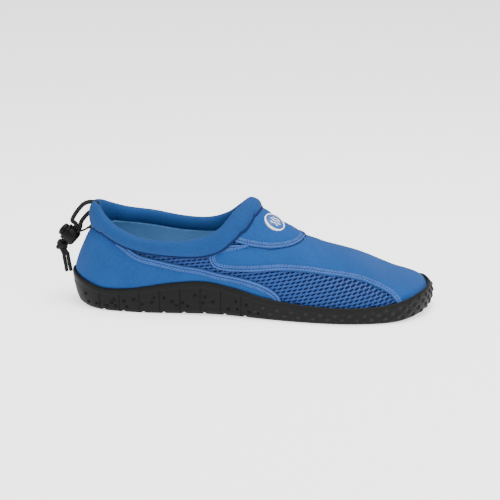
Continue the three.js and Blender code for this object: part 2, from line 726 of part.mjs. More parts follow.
const STRANDS = {
  drawcord_strand_upper: [
    [-119.5, 0, 77.6], [-123, 0, 78.4], [-127, -0.3, 78.2], [-131, -0.6, 76.2], [-134.8, -0.8, 72],
    [-138, -0.8, 67.4], [-139.6, -0.5, 63.2],
    lockPoint(strandAlong[0], BARREL / 2 + 2.2, 0), lockPoint(strandAlong[0], 0, 0),
    lockPoint(strandAlong[0], strandEnd, 0),
  ],
  drawcord_strand_lower: [
    [-120, 0, 71], [-123, 0, 71.4], [-126.3, 0.3, 70], [-129.8, 0.5, 66.4], [-133, 0.5, 62],
    lockPoint(strandAlong[1], BARREL / 2 + 2, 0), lockPoint(strandAlong[1], 0, 0),
    lockPoint(strandAlong[1], strandEnd, 0),
  ],
};
const TAILS = {
  drawcord_tail_upper: [[-147.4, 0, 36.6], [-146.9, 0, 33], [-146, 0, 28], [-145.3, 0, 22.8]],
  drawcord_tail_lower: [[-144.3, 0, 36.6], [-143.7, 0, 33], [-142.8, 0, 28], [-142.0, 0, 23.2]],
};

function cordTube(points, diameter, step) {
  const path = new THREE.CatmullRomCurve3(points.map((point) => (
    Array.isArray(point) ? new THREE.Vector3(...point) : point)));
  const section = new THREE.Shape(Array.from({ length: 8 }, (_, k) => new THREE.Vector2(
    diameter / 2 * Math.cos(k * Math.PI / 4), diameter / 2 * Math.sin(k * Math.PI / 4))));
  const steps = Math.max(3, Math.round(path.getLength() / (step * diameter)));
  return solid(new THREE.ExtrudeGeometry(section, { steps, extrudePath: path, bevelEnabled: false }));
}

function knot() {
  const ball = new THREE.SphereGeometry(0.5, 12, 6);
  ball.scale(KNOT.across, KNOT.along, KNOT.high);
  ball.translate(KNOT_ACROSS, SLOT_CENTRE, 0);
  return solid(onLockAxis(ball));
}

// The small loop of webbing sewn under the collar at the back
const TAB_LEVEL = levelBelow(0, () => HEEL_HEIGHT - TAB_UNDER);

function heelTab() {
  const seat = GAP + PANEL + GAP;
  const foot = upperPoint(0, TAB_LEVEL, seat + TAB.depth / 2);
  const out = upperPoint(0, TAB_LEVEL, seat + TAB.depth).sub(foot).normalize();
  const block = new THREE.BoxGeometry(TAB.depth, TAB.width, TAB.height);
  block.rotateY(-Math.atan2(out.z, out.x));
  block.translate(foot.x, foot.y, foot.z);
  return solid(block);
}

function keeper() {
  const onTab = upperPoint(0, TAB_LEVEL, 3 * GAP + PANEL + TAB.depth + KEEPER / 2);
  const off = BARREL / 2 + GAP + KEEPER / 2;
  const onLock = lockPoint(BUTTON_OUT + BARREL_LENGTH - BARREL_ROUND - KEEPER,
    Math.sqrt(off ** 2 - KEEPER_SIDE ** 2), -KEEPER_SIDE);
  const sag = onTab.clone().lerp(onLock, 0.5).add(new THREE.Vector3(0, 0, -KEEPER / 2));
  return cordTube([onTab, sag, onLock], KEEPER, 2);
}

const parts = {
  outsole: { shape: outsole, color: 0x303030, roughness: 0.75 },
  insole: { shape: insole, color: 0x35507a, roughness: 0.9 },
  upper: { shape: upper, color: 0x2f5fb4, roughness: 0.85 },
  heel_panel: { shape: heelPanel, color: 0x3564a4, roughness: 0.8 },
  vamp_panel: { shape: vampPanel, color: 0x3a6dac, roughness: 0.8 },
  instep_panel: { shape: () => panelLayer.intersect(instepForm(0)), color: 0x3d70b0, roughness: 0.8 },
  collar: { shape: collar, color: 0x386aaa, roughness: 0.8 },
  badge: { shape: badge, color: 0xe4e4e0, roughness: 0.4 },
  heel_tab: { shape: heelTab, color: 0x151515, roughness: 0.9 },
  lock_keeper: { shape: keeper, color: 0x151515, roughness: 0.9 },
  lock_barrel: { shape: lockBarrel, color: 0x161616, roughness: 0.4 },
  lock_button: { shape: lockButton, color: 0x181818, roughness: 0.4 },
  cord_knot: { shape: knot, color: 0x141414, roughness: 0.9 },
};
for (const [name, points] of Object.entries(STRANDS)) {
  parts[name] = { shape: () => cordTube(points, CORD, 2), color: 0x141414, roughness: 0.9 };
}
for (const [name, points] of Object.entries(TAILS)) {
  parts[name] = { shape: () => cordTube(points, TAIL, 2), color: 0x141414, roughness: 0.9 };
}

const shoe = new THREE.Group();
for (const [name, part] of Object.entries(parts)) {
  const material = new THREE.MeshStandardMaterial({
    color: part.color, roughness: part.roughness, metalness: 0,
  });
  const mesh = new THREE.Mesh(geometryOf(part.shape()), material);
  mesh.name = name;
  shoe.add(mesh);
}

export default shoe;
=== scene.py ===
"""Dresses a pull-on water shoe: neoprene, mesh, rubber cup sole, drawcord and cord lock."""
import itertools
import math

import bmesh
import bpy
import numpy as np
from bpy.props import FloatProperty, FloatVectorProperty, IntProperty, PointerProperty
from mathutils import Matrix, Vector


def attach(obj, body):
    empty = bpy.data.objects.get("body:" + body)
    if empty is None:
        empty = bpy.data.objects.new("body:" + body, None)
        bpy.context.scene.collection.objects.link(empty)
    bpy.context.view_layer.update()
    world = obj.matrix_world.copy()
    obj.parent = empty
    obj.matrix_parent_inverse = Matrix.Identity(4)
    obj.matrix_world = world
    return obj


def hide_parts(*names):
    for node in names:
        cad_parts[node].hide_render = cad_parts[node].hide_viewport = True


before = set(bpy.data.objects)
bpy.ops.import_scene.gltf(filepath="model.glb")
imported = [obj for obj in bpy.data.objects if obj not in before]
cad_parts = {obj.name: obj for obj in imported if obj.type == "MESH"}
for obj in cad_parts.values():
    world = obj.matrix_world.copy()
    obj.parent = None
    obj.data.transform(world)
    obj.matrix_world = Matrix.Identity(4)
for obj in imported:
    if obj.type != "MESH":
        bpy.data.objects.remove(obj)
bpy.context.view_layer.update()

bl_info = {
    "name": "Water shoe",
    "version": (1, 0, 0),
    "blender": (4, 5, 0),
    "location": "View3D > Sidebar > Water shoe",
    "description": "Models and finishes a water shoe around its measured solids",
    "category": "Object",
}

MM = 0.001
SIDES = ("lateral", "medial")


def table(names, rows):
    """A short table as one array for each named column."""
    return dict(zip(names.split(), np.array(rows, float).T))


# Sizes of the shoe, as in its solids
LENGTH = 280 * MM
BALL_WIDTH = 100 * MM
INSTEP_HEIGHT = 78.5 * MM
HEEL_HEIGHT = 61 * MM
COLLAR_HEIGHT = 83.8 * MM
LIP_HEIGHT = 27 * MM
TOE_SPRING = 4 * MM
TOE_LIFT_FROM = 0.86
ARCH = 1.2 * MM
ARCH_ENDS = (0.2, 0.6)
FLOOR = 5.5 * MM
LIP_WALL = 3.2 * MM
TOE_WALL = 5.6 * MM
TOE_WALL_FROM = 0.88
TUCK = 3 * MM
FEATHER = 2 * MM
WALL = 2 * MM
PANEL = 1.6 * MM
INSOLE = 4 * MM
COLLAR_THICKNESS = 8 * MM
COLLAR_BULGE = 1 * MM
COLLAR_SINK = 2.4 * MM
GAP = 0.3 * MM
HALF = LENGTH / 2

SOLE = table("at lateral medial lip", [
    (0.000, 0.000, 0.000, 1.000),
    (0.012, -0.125, 0.125, 0.950),
    (0.045, -0.235, 0.235, 0.835),
    (0.100, -0.310, 0.310, 0.690),
    (0.180, -0.350, 0.345, 0.730),
    (0.290, -0.365, 0.345, 0.930),
    (0.380, -0.375, 0.320, 1.015),
    (0.460, -0.395, 0.310, 0.890),
    (0.540, -0.430, 0.335, 0.680),
    (0.620, -0.470, 0.395, 0.565),
    (0.700, -0.497, 0.460, 0.510),
    (0.780, -0.498, 0.500, 0.500),
    (0.860, -0.455, 0.488, 0.530),
    (0.925, -0.370, 0.438, 0.630),
    (0.972, -0.215, 0.345, 0.725),
    (0.993, -0.050, 0.240, 0.720),
    (1.000, 0.120, 0.120, 0.705),
])
TOP = table("at side up lean swell full along across drop", [
    (0.200, 0.000, 1.172, 0.10, 0.000, 0.37, 0.57, 0.95, 0.20),
    (0.204, 0.000, 1.172, 0.10, 0.005, 0.37, 0.59, 0.95, 0.20),
    (0.214, 0.000, 1.172, 0.10, 0.010, 0.36, 0.63, 0.93, 0.19),
    (0.236, 0.000, 1.160, 0.09, 0.020, 0.34, 0.69, 0.93, 0.15),
    (0.279, 0.000, 1.146, 0.04, 0.028, 0.38, 0.82, 0.95, 0.09),
    (0.332, 0.005, 1.134, 0.02, 0.030, 0.42, 0.88, 0.95, 0.03),
    (0.382, 0.010, 1.108, 0.02, 0.026, 0.45, 0.80, 0.92, 0.00),
    (0.429, 0.005, 1.080, 0.05, 0.018, 0.50, 0.50, 0.65, 0.00),
    (0.471, 0.000, 1.040, 0.15, 0.010, 0.54, 0.20, 0.36, 0.00),
    (0.520, 0.000, 0.975, 0.33, 0.005, 0.56, 0.00, 0.24, 0.00),
    (0.586, 0.000, 0.818, 0.33, 0.000, 0.56, 0.00, 0.20, 0.00),
    (0.671, 0.030, 0.648, 0.16, 0.000, 0.53, 0.00, 0.28, 0.00),
    (0.779, 0.060, 0.515, 0.07, 0.000, 0.54, 0.00, 0.44, 0.00),
    (0.864, 0.090, 0.370, 0.06, 0.000, 0.56, 0.00, 0.52, 0.00),
    (0.925, 0.104, 0.308, 0.05, 0.000, 0.56, 0.00, 0.55, 0.00),
    (0.960, 0.113, 0.270, 0.05, 0.000, 0.56, 0.00, 0.55, 0.00),
    (1.000, 0.120, 0.200, 0.00, 0.000, 0.50, 0.00, 0.50, 0.00),
])
LAST_ROW = len(SOLE["at"]) - 1
AROUND = 2 * LAST_ROW
EDGE = table("at lateral medial", [
    (-0.020, 1.060, 1.060),
    (0.065, 1.005, 1.005),
    (0.082, 1.005, 1.005),
    (0.110, 0.978, 0.990),
    (0.164, 0.878, 0.945),
    (0.221, 0.819, 0.900),
    (0.293, 0.791, 0.849),
    (0.368, 0.789, 0.840),
    (0.421, 0.845, 0.874),
    (0.454, 0.960, 0.965),
    (0.482, 1.066, 1.066),
    (0.502, 1.189, 1.180),
    (0.518, 1.279, 1.279),
    (0.523, 1.420, 1.420),
])
RIM = table("at lateral medial lateral_up medial_up", [
    (0.067, 0.000, 0.000, 0.955, 0.955),
    (0.082, -0.085, 0.085, 0.937, 0.937),
    (0.104, -0.160, 0.160, 0.872, 0.889),
    (0.146, -0.235, 0.250, 0.776, 0.829),
    (0.214, -0.300, 0.300, 0.700, 0.788),
    (0.296, -0.318, 0.315, 0.682, 0.737),
    (0.368, -0.308, 0.305, 0.716, 0.734),
    (0.421, -0.262, 0.255, 0.788, 0.794),
    (0.457, -0.165, 0.170, 0.921, 0.889),
    (0.484, 0.010, 0.010, 0.982, 0.982),
])
RIM_ROWS = len(RIM["at"]) - 1
HEEL_PANEL_TOP = table("at up", [
    (0.118, 0.860),
    (0.143, 0.726),
    (0.175, 0.642),
    (0.209, 0.573),
    (0.277, 0.522),
    (0.329, 0.489),
    (0.371, 0.471),
    (0.423, 0.427),
    (0.477, 0.395),
    (0.531, 0.344),
    (0.571, 0.280),
    (0.592, 0.205),
    (0.600, 0.100),
])
VAMP_EDGE = table("at up", [
    (0.920, 0.090),
    (0.904, 0.185),
    (0.886, 0.255),
    (0.857, 0.311),
    (0.814, 0.369),
    (0.774, 0.401),
    (0.707, 0.433),
    (0.650, 0.459),
    (0.582, 0.471),
    (0.504, 0.462),
    (0.437, 0.471),
    (0.409, 0.510),
    (0.400, 0.586),
    (0.409, 0.650),
    (0.446, 0.692),
    (0.484, 0.690),
    (0.499, 0.690),
])
INSTEP_EDGE = table("at up", [
    (0.440, 0.775),
    (0.452, 0.752),
    (0.475, 0.722),
    (0.498, 0.697),
    (0.550, 0.663),
    (0.589, 0.659),
    (0.625, 0.673),
    (0.652, 0.707),
])
SEAM = 0.8 * MM
SIDEWALL = table("up inset heel_in toe_in", [
    (0.00, 4.2, 4.2, 0.0),
    (0.10, 2.0, 2.6, 0.0),
    (0.32, 0.8, 1.6, 0.0),
    (0.62, 0.1, 0.5, 0.3),
    (0.92, 0.0, 0.0, 1.9),
    (1.00, 0.5, 0.0, 2.4),
])
END_ROWS = 3
RIB_PITCH = 15.7 * MM
RIB_FROM = 0.104
CHANNELS = 8
CHANNEL_WIDTH = 3 * MM
CHANNEL_DEPTH = 1.5 * MM
GROOVE_SHIFT = -3 * MM
GROOVE_MARGIN = 4.5 * MM
EDGE_STEPS = 6                  # between two rows of an edge's table
BADGE = 18 * MM
BADGE_STATION = 9.55
BADGE_LEVEL = 0.78

# Fields of the mesh and panels
RIM_DIVE = 1.8 * MM             # of the upper into the rubber rim
HEEL_STATIONS = (-9.6, 9.6)
FRONT_STATIONS = (5.6, 15.97)
SIDE_STATIONS = {"lateral": (0.2, 15.6), "medial": (16.4, 31.8)}
MESH_FROM = 0.10                # shares of the sole's length
MESH_SPAN = 0.92
MESH_HEIGHT = 76 * MM
MESH_LOWEST = -11 * MM
MESH_BETWEEN = (8 * MM, 66 * MM)
MESH_LEAN = 0.32                # of a row over the last, in pitches
MESH_LAP = 1.2 * MM             # of the mesh under the seams
MISS = 0.4 * MM                 # farther than that from a wanted place, a point is dropped

PANEL_AT_SEAM = 0.62            # of its thickness
PANEL_AT_RIM = 0.8 * MM
SEAM_SLOPE = 5 * MM
RIM_SLOPE = 3.5 * MM
PILLOW = 0.35 * MM              # swelling of a panel beside its seams
PILLOW_AT = 8 * MM
PILLOW_WIDTH = 4 * MM

# Skins of the dressed pieces
LINING_SKIN = 1.0 * MM
BACKING_SKIN = 0.5 * MM
MESH_SKIN = 0.95 * MM
PANEL_SKIN = 1.2 * MM
BAND_SKIN = 0.7 * MM
TAPE_SKIN = 0.95 * MM
WELD = 0.01 * MM

# Relief of the rubber: shares of the sole's length, depths and pitches
SIDE_ROWS = 34
RIM_ROUND = 0.9 * MM
BODY_SUNK = 0.35 * MM
RIBS_END = 0.565
RIB_WIDTH = 1.3 * MM
RIB_DEPTH = 1.3 * MM
PIT_REACH = 1.9 * MM
PIT_DEPTH = 1.1 * MM
NUBS_FROM = 0.50
NUB_LEVELS = (0.10, 0.33, 0.56, 0.78)   # shares of the wall's height
NUB_PITCH = 11 * MM
NUB_REACH = 1.9 * MM
TOE_NUB = 0.6 * MM              # added to that at the toe
ZIGZAGS_FROM = 0.56
ZIGZAG_PITCH = 7.5 * MM
ZIGZAG_DEPTH = 1.3 * MM

# Seams, collar and badge
SEAM_SEAT = GAP + PANEL * PANEL_AT_SEAM  # height of a panel's edge over the last
BAND_LAP = 0.35 * MM            # of a band past that edge
BAND_RISE = 0.62 * MM           # of a band over its seat, and its fall to the far edge
BAND_FALL = 0.55 * MM
BAND_RIDGES = 0.16 * MM
PLY_HEIGHT = 0.09 * MM
PLY_PITCH = 1.15 * MM
SWAY_HEIGHT = 0.054 * MM
SWAY_PITCH = 9.3 * MM
COLLAR_START = 0.21             # row of the rim where the roll starts
ROLL_OUT = 1.18                 # thickness of the roll's outer half, and of its ends
ROLL_END = 0.80
CREASE_SHADOW_COLUMN = 38              # of the roll's 48, for the painted shadow along the crease and for the inner stitches
STITCH_COLUMN = 30
# The crease's painted shadow: a near-black tube of this radius, sunk this far under the roll
CREASE_SHADOW_RADIUS = 0.85 * MM
CREASE_SHADOW_SUNK = 0.35 * MM
CHANNEL_MOUTH = [               # share of the roll's section and millimetres into it
    (1, 0), (0.93, -0.5), (0.82, -0.7), (0.66, -0.55), (0.5, 0.6), (0.42, 3.0), (0.05, 3.4),
]
INNER_PITCH = 2.2 * MM
BADGE_BEND = 30 * MM
WAVES = [(-1, 3.7), (0, 4.9), (1, 3.7)]  # rows of the badge's waves and their half lengths
WAVE_SPACING = 2.9
WAVE_HEIGHT = 0.55
WAVE_THICK = 0.42
WAVE_TILT = -14                 # degrees

# Drawcord and lock, with the solids' own points in millimetres
LOCK_FACE = np.array((-148.0, 0, 57.4))
LOCK_AXIS = np.array((0.757, 0, -0.654)) / math.hypot(0.757, 0.654)
LOCK_ACROSS = np.array((0.654, 0, 0.757)) / math.hypot(0.757, 0.654)
BUTTON = 10.2
BUTTON_LENGTH = 4.4
BUTTON_OUT = 3.2
BARREL = 13.6
BARREL_LENGTH = 11.6
STRAND_SPACING = 3.55
SLOT_CENTRE = 8.9
KNOT = (8.6, 10, 10.4)
KEEPER = 1.5
KEEPER_SIDE = 4
TAB_UNDER = 3.2 * MM
BARREL_ROUND = 2.2
CORD_STEP = 0.7 * MM            # between the points of a cord's path
TAIL_SHARE = 0.88               # of the cord's diameter, under the knot
KNOT_CORD = 1.62                # radius of the cord in the knot
KEEPER_DRAWN = 0.85 * MM        # radius of the keeper's braid
TAB_HALF = 2.5 * MM             # of the tape's width
TAB_REACH = 2 * MM              # of its loop, along the shoe and out of it
TAB_OUT = 0.55 * MM
TAB_MIDDLE = 1.05 * MM

# Camera, from the photograph's view of the shoe
AZIMUTH = 6
ELEVATION = 15
DISTANCE = 1.3
AIM = Vector((-0.0012, 0, 0.0433))
LENS = 121.5
SENSOR = 36
SKY = 1.0
LAMPS = [                       # name, place, size and power
    ("key", (-0.10, -0.75, 1.30), 0.8, 11.0),
    ("fill", (1.0, -0.9, 0.9), 1.0, 8.0),
    ("top", (0.25, -0.05, 1.45), 0.9, 28.0),
]


def along_x(at):
    return at * LENGTH - HALF


def loop(lateral, medial=None):
    """A column of the tables all the way round: outer side to the toe, inner side back."""
    medial = lateral if medial is None else medial
    return np.concatenate([lateral, medial[-2:0:-1]])


def through(p, q, r, s, f):
    """A smooth curve at share f of the way from q to r, with p before and s after them."""
    slope_in, slope_out = (r - p) / 2, (s - q) / 2
    return q + f * (slope_in + f * (3 * (r - q) - 2 * slope_in - slope_out
                                    + f * (slope_in + slope_out - 2 * (r - q))))


def smooth(values, a):
    """Smooth closed curve through values at whole numbers."""
    k = np.floor(a).astype(int)
    return through(*(values[(k + step) % len(values)] for step in (-1, 0, 1, 2)), a - k)


SOLE_X = loop(along_x(SOLE["at"]))
SOLE_Y = loop(SOLE["lateral"] * BALL_WIDTH, SOLE["medial"] * BALL_WIDTH)
SOLE_LIP = loop(SOLE["lip"] * LIP_HEIGHT)
SHAPE = {name: loop(TOP[name]) for name in ("lean", "swell", "full", "along", "across", "drop")}


def share(value, low, high):
    return np.clip((value - low) / (high - low), 0, 1)


def soft(value, low, high):
    """Smooth step from 0 at low to 1 at high."""
    s = share(value, low, high)
    return s * s * (3 - 2 * s)


def lift(x):
    """Height of the sole's underside over the floor."""
    toe = share(x, along_x(TOE_LIFT_FROM), HALF)
    waist = share(x, along_x(ARCH_ENDS[0]), along_x(ARCH_ENDS[1]))
    return TOE_SPRING * toe ** 2 + ARCH * np.sin(math.pi * waist) ** 2


def lip_wall(x):
    return LIP_WALL + (TOE_WALL - LIP_WALL) * share(x, along_x(TOE_WALL_FROM), HALF) ** 2


def lip_height(a):
    return smooth(SOLE_LIP, a)


def unit(vectors):
    return vectors / (np.linalg.norm(vectors, axis=-1, keepdims=True) + 1e-12)


def outline(a, inset=0.0, walls=0.0):
    """A point of the sole's outline, moved in, and the way out of it."""
    def at(b):
        return np.stack([smooth(SOLE_X, b), smooth(SOLE_Y, b)], -1)
    tangent = unit(at(a + 0.05) - at(a - 0.05))
    outward = np.stack([tangent[..., 1], -tangent[..., 0]], -1)
    edge = at(a)
    moved = np.asarray(inset) + walls * lip_wall(edge[..., 0])
    return edge - outward * np.expand_dims(moved, -1), outward


def raised(flat, z):
    return np.concatenate([flat, np.broadcast_to(z, flat.shape[:-1])[..., None]], -1)


def girth(a):
    return raised(outline(a, 0, 1)[0], lip_height(a) - TUCK)


def foot(a):
    flat = outline(a, FEATHER, 1)[0]
    return raised(flat, FLOOR + lift(flat[..., 0]))


TIP = girth(np.array([float(LAST_ROW)]))[0]
RIDGE = [loop(np.append(column[:-1], tip)) for column, tip in zip(
    (along_x(TOP["at"]), TOP["side"] * BALL_WIDTH, TOP["up"] * INSTEP_HEIGHT), TIP)]


def last_point(a, t):
    """A point of the last: t is -1 on the cup's floor, 0 at the girth and 1 at the ridge."""
    a, t = np.broadcast_arrays(np.asarray(a, float), np.asarray(t, float))
    over = t > 1
    a, t = np.where(over, AROUND - a, a), np.where(over, 2 - t, t)
    low = girth(a)
    top = np.stack([smooth(column, a) for column in RIDGE], -1)
    shape = {name: smooth(column, a)[..., None] for name, column in SHAPE.items()}
    rise = top[..., 2:] - low[..., 2:]
    bulge = outline(a)[1] * shape["swell"] * BALL_WIDTH
    start = np.concatenate([low[..., :2] + (top - low)[..., :2] * shape["lean"] + bulge,
                            low[..., 2:] + rise * shape["full"]], -1)
    end = np.concatenate([top[..., :1] + (low - top)[..., :1] * shape["along"],
                          top[..., 1:2] + (low - top)[..., 1:2] * shape["across"],
                          top[..., 2:] - rise * shape["drop"]], -1)
    u = np.clip(t, 0, 1)[..., None]
    v = 1 - u
    arch = low * v ** 3 + start * 3 * v * v * u + end * 3 * v * u * u + top * u ** 3
    skirt = foot(a) + (low - foot(a)) * (t[..., None] + 1)
    return np.where(t[..., None] < 0, skirt, arch)


def surface_normal(a, t):
    step = 0.02
    a, t = np.broadcast_arrays(np.asarray(a, float), np.asarray(t, float))
    along_a = last_point(a + step, t) - last_point(a - step, t)
    along_t = last_point(a, t + step) - last_point(a, np.maximum(t - step, -1))
    return unit(np.cross(along_a, along_t))


def upper_point(a, t, offset):
    """A point of the last moved out of it."""
    return last_point(a, t) + surface_normal(a, t) * np.expand_dims(np.asarray(offset), -1)


def side_line(rows, column, height):
    """Rows of an edge as a smooth line in side view: x along the shoe and z up."""
    last = len(rows["at"]) - 1
    a = np.linspace(0, last, last * EDGE_STEPS + 1)
    k = np.minimum(np.floor(a).astype(int), last - 1)
    return np.stack([
        through(*(values[np.clip(k + step, 0, last)] for step in (-1, 0, 1, 2)), a - k)
        for values in (along_x(rows["at"]), rows[column] * height)], -1)


def closed(line, *corners):
    return np.concatenate([line, np.array(corners)])


OVER = 2 * COLLAR_HEIGHT
BEHIND = -LENGTH
UNDER = -FLOOR
HEEL_LINE = side_line(HEEL_PANEL_TOP, "up", INSTEP_HEIGHT)
VAMP_LINE = side_line(VAMP_EDGE, "up", INSTEP_HEIGHT)
INSTEP_LINE = side_line(INSTEP_EDGE, "up", INSTEP_HEIGHT)
EDGE_LINE = {side: side_line(EDGE, side, HEEL_HEIGHT) for side in SIDES}
HEEL_AREA = closed(HEEL_LINE, (HEEL_LINE[-1, 0], UNDER), (BEHIND, UNDER), (BEHIND, OVER),
                   (HEEL_LINE[0, 0], OVER))
VAMP_AREA = closed(VAMP_LINE, (VAMP_LINE[-1, 0], OVER), (LENGTH, OVER), (LENGTH, UNDER),
                   (VAMP_LINE[0, 0], UNDER))
INSTEP_AREA = closed(INSTEP_LINE, (INSTEP_LINE[-1, 0], OVER), (INSTEP_LINE[0, 0], OVER))
OPENING = {side: closed(line, (line[-1, 0], OVER), (BEHIND, OVER), (BEHIND, line[0, 1]))
           for side, line in EDGE_LINE.items()}


def depth_inside(points, area):
    """Distance of side-view points into a closed area: negative outside it."""
    nxt = np.roll(area, -1, 0)
    run = nxt - area
    to = points[..., None, :] - area
    s = np.clip((to * run).sum(-1) / ((run * run).sum(-1) + 1e-18), 0, 1)
    distance = np.linalg.norm(to - s[..., None] * run, axis=-1).min(-1)
    z = points[..., None, 1]
    crossing = (area[:, 1] > z) != (nxt[:, 1] > z)
    where = area[:, 0] + run[:, 0] * (z - area[:, 1]) / (run[:, 1] + 1e-18)
    inside = (crossing & (points[..., None, 0] < where)).sum(-1) % 2 == 1
    return np.where(inside, distance, -distance)


def from_opening(points, medial):
    """Distance from the opening, positive on the upper."""
    flat = points[..., [0, 2]]
    sides = [-depth_inside(flat, OPENING[side]) for side in SIDES]
    return np.where(medial, sides[1], sides[0])


def from_rim(a, points):
    """Height over the line where the upper dives into the rubber rim."""
    return points[..., 2] - lip_height(a) + RIM_DIVE


def locate(flat, side):
    """Station and level of the last's surface at side-view points on one side."""
    shape = flat.shape[:-1]
    flat = flat.reshape(-1, 2)
    a_seed, t_seed = np.meshgrid(np.linspace(0.3, 15.9, 160), np.linspace(0.0, 0.98, 40),
                                 indexing="ij")
    a_seed = a_seed if side == "lateral" else AROUND - a_seed
    seeds = last_point(a_seed, t_seed)[..., [0, 2]].reshape(-1, 2)
    nearest = np.array([np.argmin(((seeds - p) ** 2).sum(-1)) for p in flat])
    a, t = a_seed.reshape(-1)[nearest], t_seed.reshape(-1)[nearest]
    step = 0.01
    for _ in range(8):
        here = last_point(a, t)[..., [0, 2]]
        da = (last_point(a + step, t)[..., [0, 2]] - here) / step
        dt = (last_point(a, t + step)[..., [0, 2]] - here) / step
        miss = flat - here
        det = da[:, 0] * dt[:, 1] - da[:, 1] * dt[:, 0]
        det = np.where(np.abs(det) < 1e-9, 1e-9, det)
        a = a + np.clip((miss[:, 0] * dt[:, 1] - miss[:, 1] * dt[:, 0]) / det, -0.4, 0.4)
        t = np.clip(t + np.clip((da[:, 0] * miss[:, 1] - da[:, 1] * miss[:, 0]) / det,
                                -0.1, 0.1), -0.4, 1.0)
    return a.reshape(shape), t.reshape(shape)


# The main creases, each a soft trough between two places in side view, with its side, its
# half width and its depth
CREASES = [
    ((0.500, 0.660), (0.545, 0.560), "lateral", 3.2, 0.55),
    ((0.560, 0.640), (0.600, 0.545), "lateral", 3.6, 0.50),
    ((0.655, 0.640), (0.690, 0.520), "lateral", 5.0, 0.60),
    ((0.700, 0.590), (0.745, 0.480), "lateral", 5.5, 0.55),
    ((0.660, 0.640), (0.705, 0.520), "medial", 5.0, 0.60),
    ((0.560, 0.650), (0.600, 0.540), "medial", 3.6, 0.50),
    ((0.150, 0.620), (0.300, 0.430), "lateral", 6.0, 0.70),
    ((0.110, 0.500), (0.230, 0.400), "lateral", 5.0, 0.50),
    ((0.150, 0.620), (0.300, 0.430), "medial", 6.0, 0.70),
    ((0.300, 0.400), (0.420, 0.330), "lateral", 4.0, 0.45),
    ((0.495, 0.850), (0.560, 0.770), "lateral", 4.0, 0.45),
]


def crease_depth(points):
    """How deep the creases sink the surface at some points."""
    depth = np.zeros(points.shape[:-1])
    for start, end, side, width, deep in CREASES:
        ends = np.array([(along_x(at), up * INSTEP_HEIGHT) for at, up in (start, end)])
        p, q = last_point(*locate(ends, side))
        run = q - p
        s = ((points - p) @ run) / (run @ run)
        away = np.linalg.norm(points - p - np.clip(s, 0, 1)[..., None] * run, axis=-1)
        depth += deep * MM * np.exp(-(away / (width * MM)) ** 2)
    return depth


def finished(name, bm, shade=True):
    """Makes a bmesh a piece of the scene, with its place in its mesh."""
    mesh = bpy.data.meshes.new(name)
    bm.to_mesh(mesh)
    bm.free()
    piece = bpy.data.objects.new(name, mesh)
    bpy.context.scene.collection.objects.link(piece)
    if shade:
        mesh.polygons.foreach_set("use_smooth", [True] * len(mesh.polygons))
    return piece


def dressed(piece, key, *nodes):
    """Gives a piece its body and finish, and hides the solids it stands for."""
    piece.data.materials.append(material(key))
    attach(piece, "root")
    if nodes:
        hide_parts(*nodes)
    return piece


def modifier(piece, kind, name, **values):
    added = piece.modifiers.new(name, kind)
    for key, value in values.items():
        setattr(added, key, value)


def walled(piece, thickness, offset=-1.0):
    """Gives a sheet its thickness: inward at an offset of -1, outward at 1."""
    modifier(piece, "SOLIDIFY", "wall", thickness=thickness, offset=offset)


def way_along(points):
    """Length of a line from its start to each of its points."""
    spans = np.linalg.norm(np.diff(points, axis=0), axis=-1)
    return np.concatenate([[0], np.cumsum(spans)])


def patch_mesh(points, keep=None, uv=None, merge=0.0, mask=None):
    """A bmesh grid laid over an array of points; keep says which of them stay."""
    columns, rows = points.shape[0] - 1, points.shape[1] - 1
    bm = bmesh.new()
    layer = bm.loops.layers.uv.new("UVMap")
    values = bm.verts.layers.float.new("mask")
    bmesh.ops.create_grid(bm, x_segments=columns, y_segments=rows, size=0.5)
    place = {vert: (round((vert.co.x + 0.5) * columns), round((vert.co.y + 0.5) * rows))
             for vert in bm.verts}
    if uv is None:
        ways = [np.linalg.norm(np.diff(points, axis=axis), axis=-1).mean(1 - axis).cumsum()
                for axis in (0, 1)]
        uv = np.stack(np.meshgrid(*(np.append(0, way) for way in ways), indexing="ij"), -1)
    for face in bm.faces:
        for corner in face.loops:
            corner[layer].uv = uv[place[corner.vert]]
    for vert, at in place.items():
        if mask is not None:
            vert[values] = mask[at]
        vert.co = points[at]
    if keep is not None:
        gone = [vert for vert, at in place.items() if not keep[at]]
        bmesh.ops.delete(bm, geom=gone, context="VERTS")
    if merge:
        bmesh.ops.remove_doubles(bm, verts=bm.verts, dist=merge)
    return bm


def joined(bm, other):
    """Adds a second bmesh to the first, and frees it."""
    spare = bpy.data.meshes.new("spare")
    other.to_mesh(spare)
    other.free()
    bm.from_mesh(spare)
    bpy.data.meshes.remove(spare)


def closed_up(bm, fill=False):
    """Welds the parts of a closed shape, fills what is open, and turns its faces outward."""
    bmesh.ops.remove_doubles(bm, verts=bm.verts, dist=WELD)
    if fill:
        bmesh.ops.holes_fill(bm, edges=[edge for edge in bm.edges if edge.is_boundary], sides=0)
    bmesh.ops.recalc_face_normals(bm, faces=bm.faces)


def plate_across(ring, cells):
    """A plate filling a closed ring, from its outer side to its inner side, and the shares."""
    half = (len(ring) - 1) // 2
    s = np.linspace(0, 1, cells + 1)[None, :]
    lateral, medial = ring[:half + 1, None], ring[::-1][:half + 1, None]
    return lateral * (1 - s[..., None]) + medial * s[..., None], s


def bead(bm, middle, axes, size, subdivisions=2):
    """A small ball stretched along three axes, with its half sizes in millimetres."""
    turned = Matrix([(*axis,) for axis in axes]).transposed().to_4x4()
    bmesh.ops.create_icosphere(
        bm, subdivisions=subdivisions, radius=MM,
        matrix=Matrix.Translation(middle) @ turned @ Matrix.Diagonal((*size, 1)))


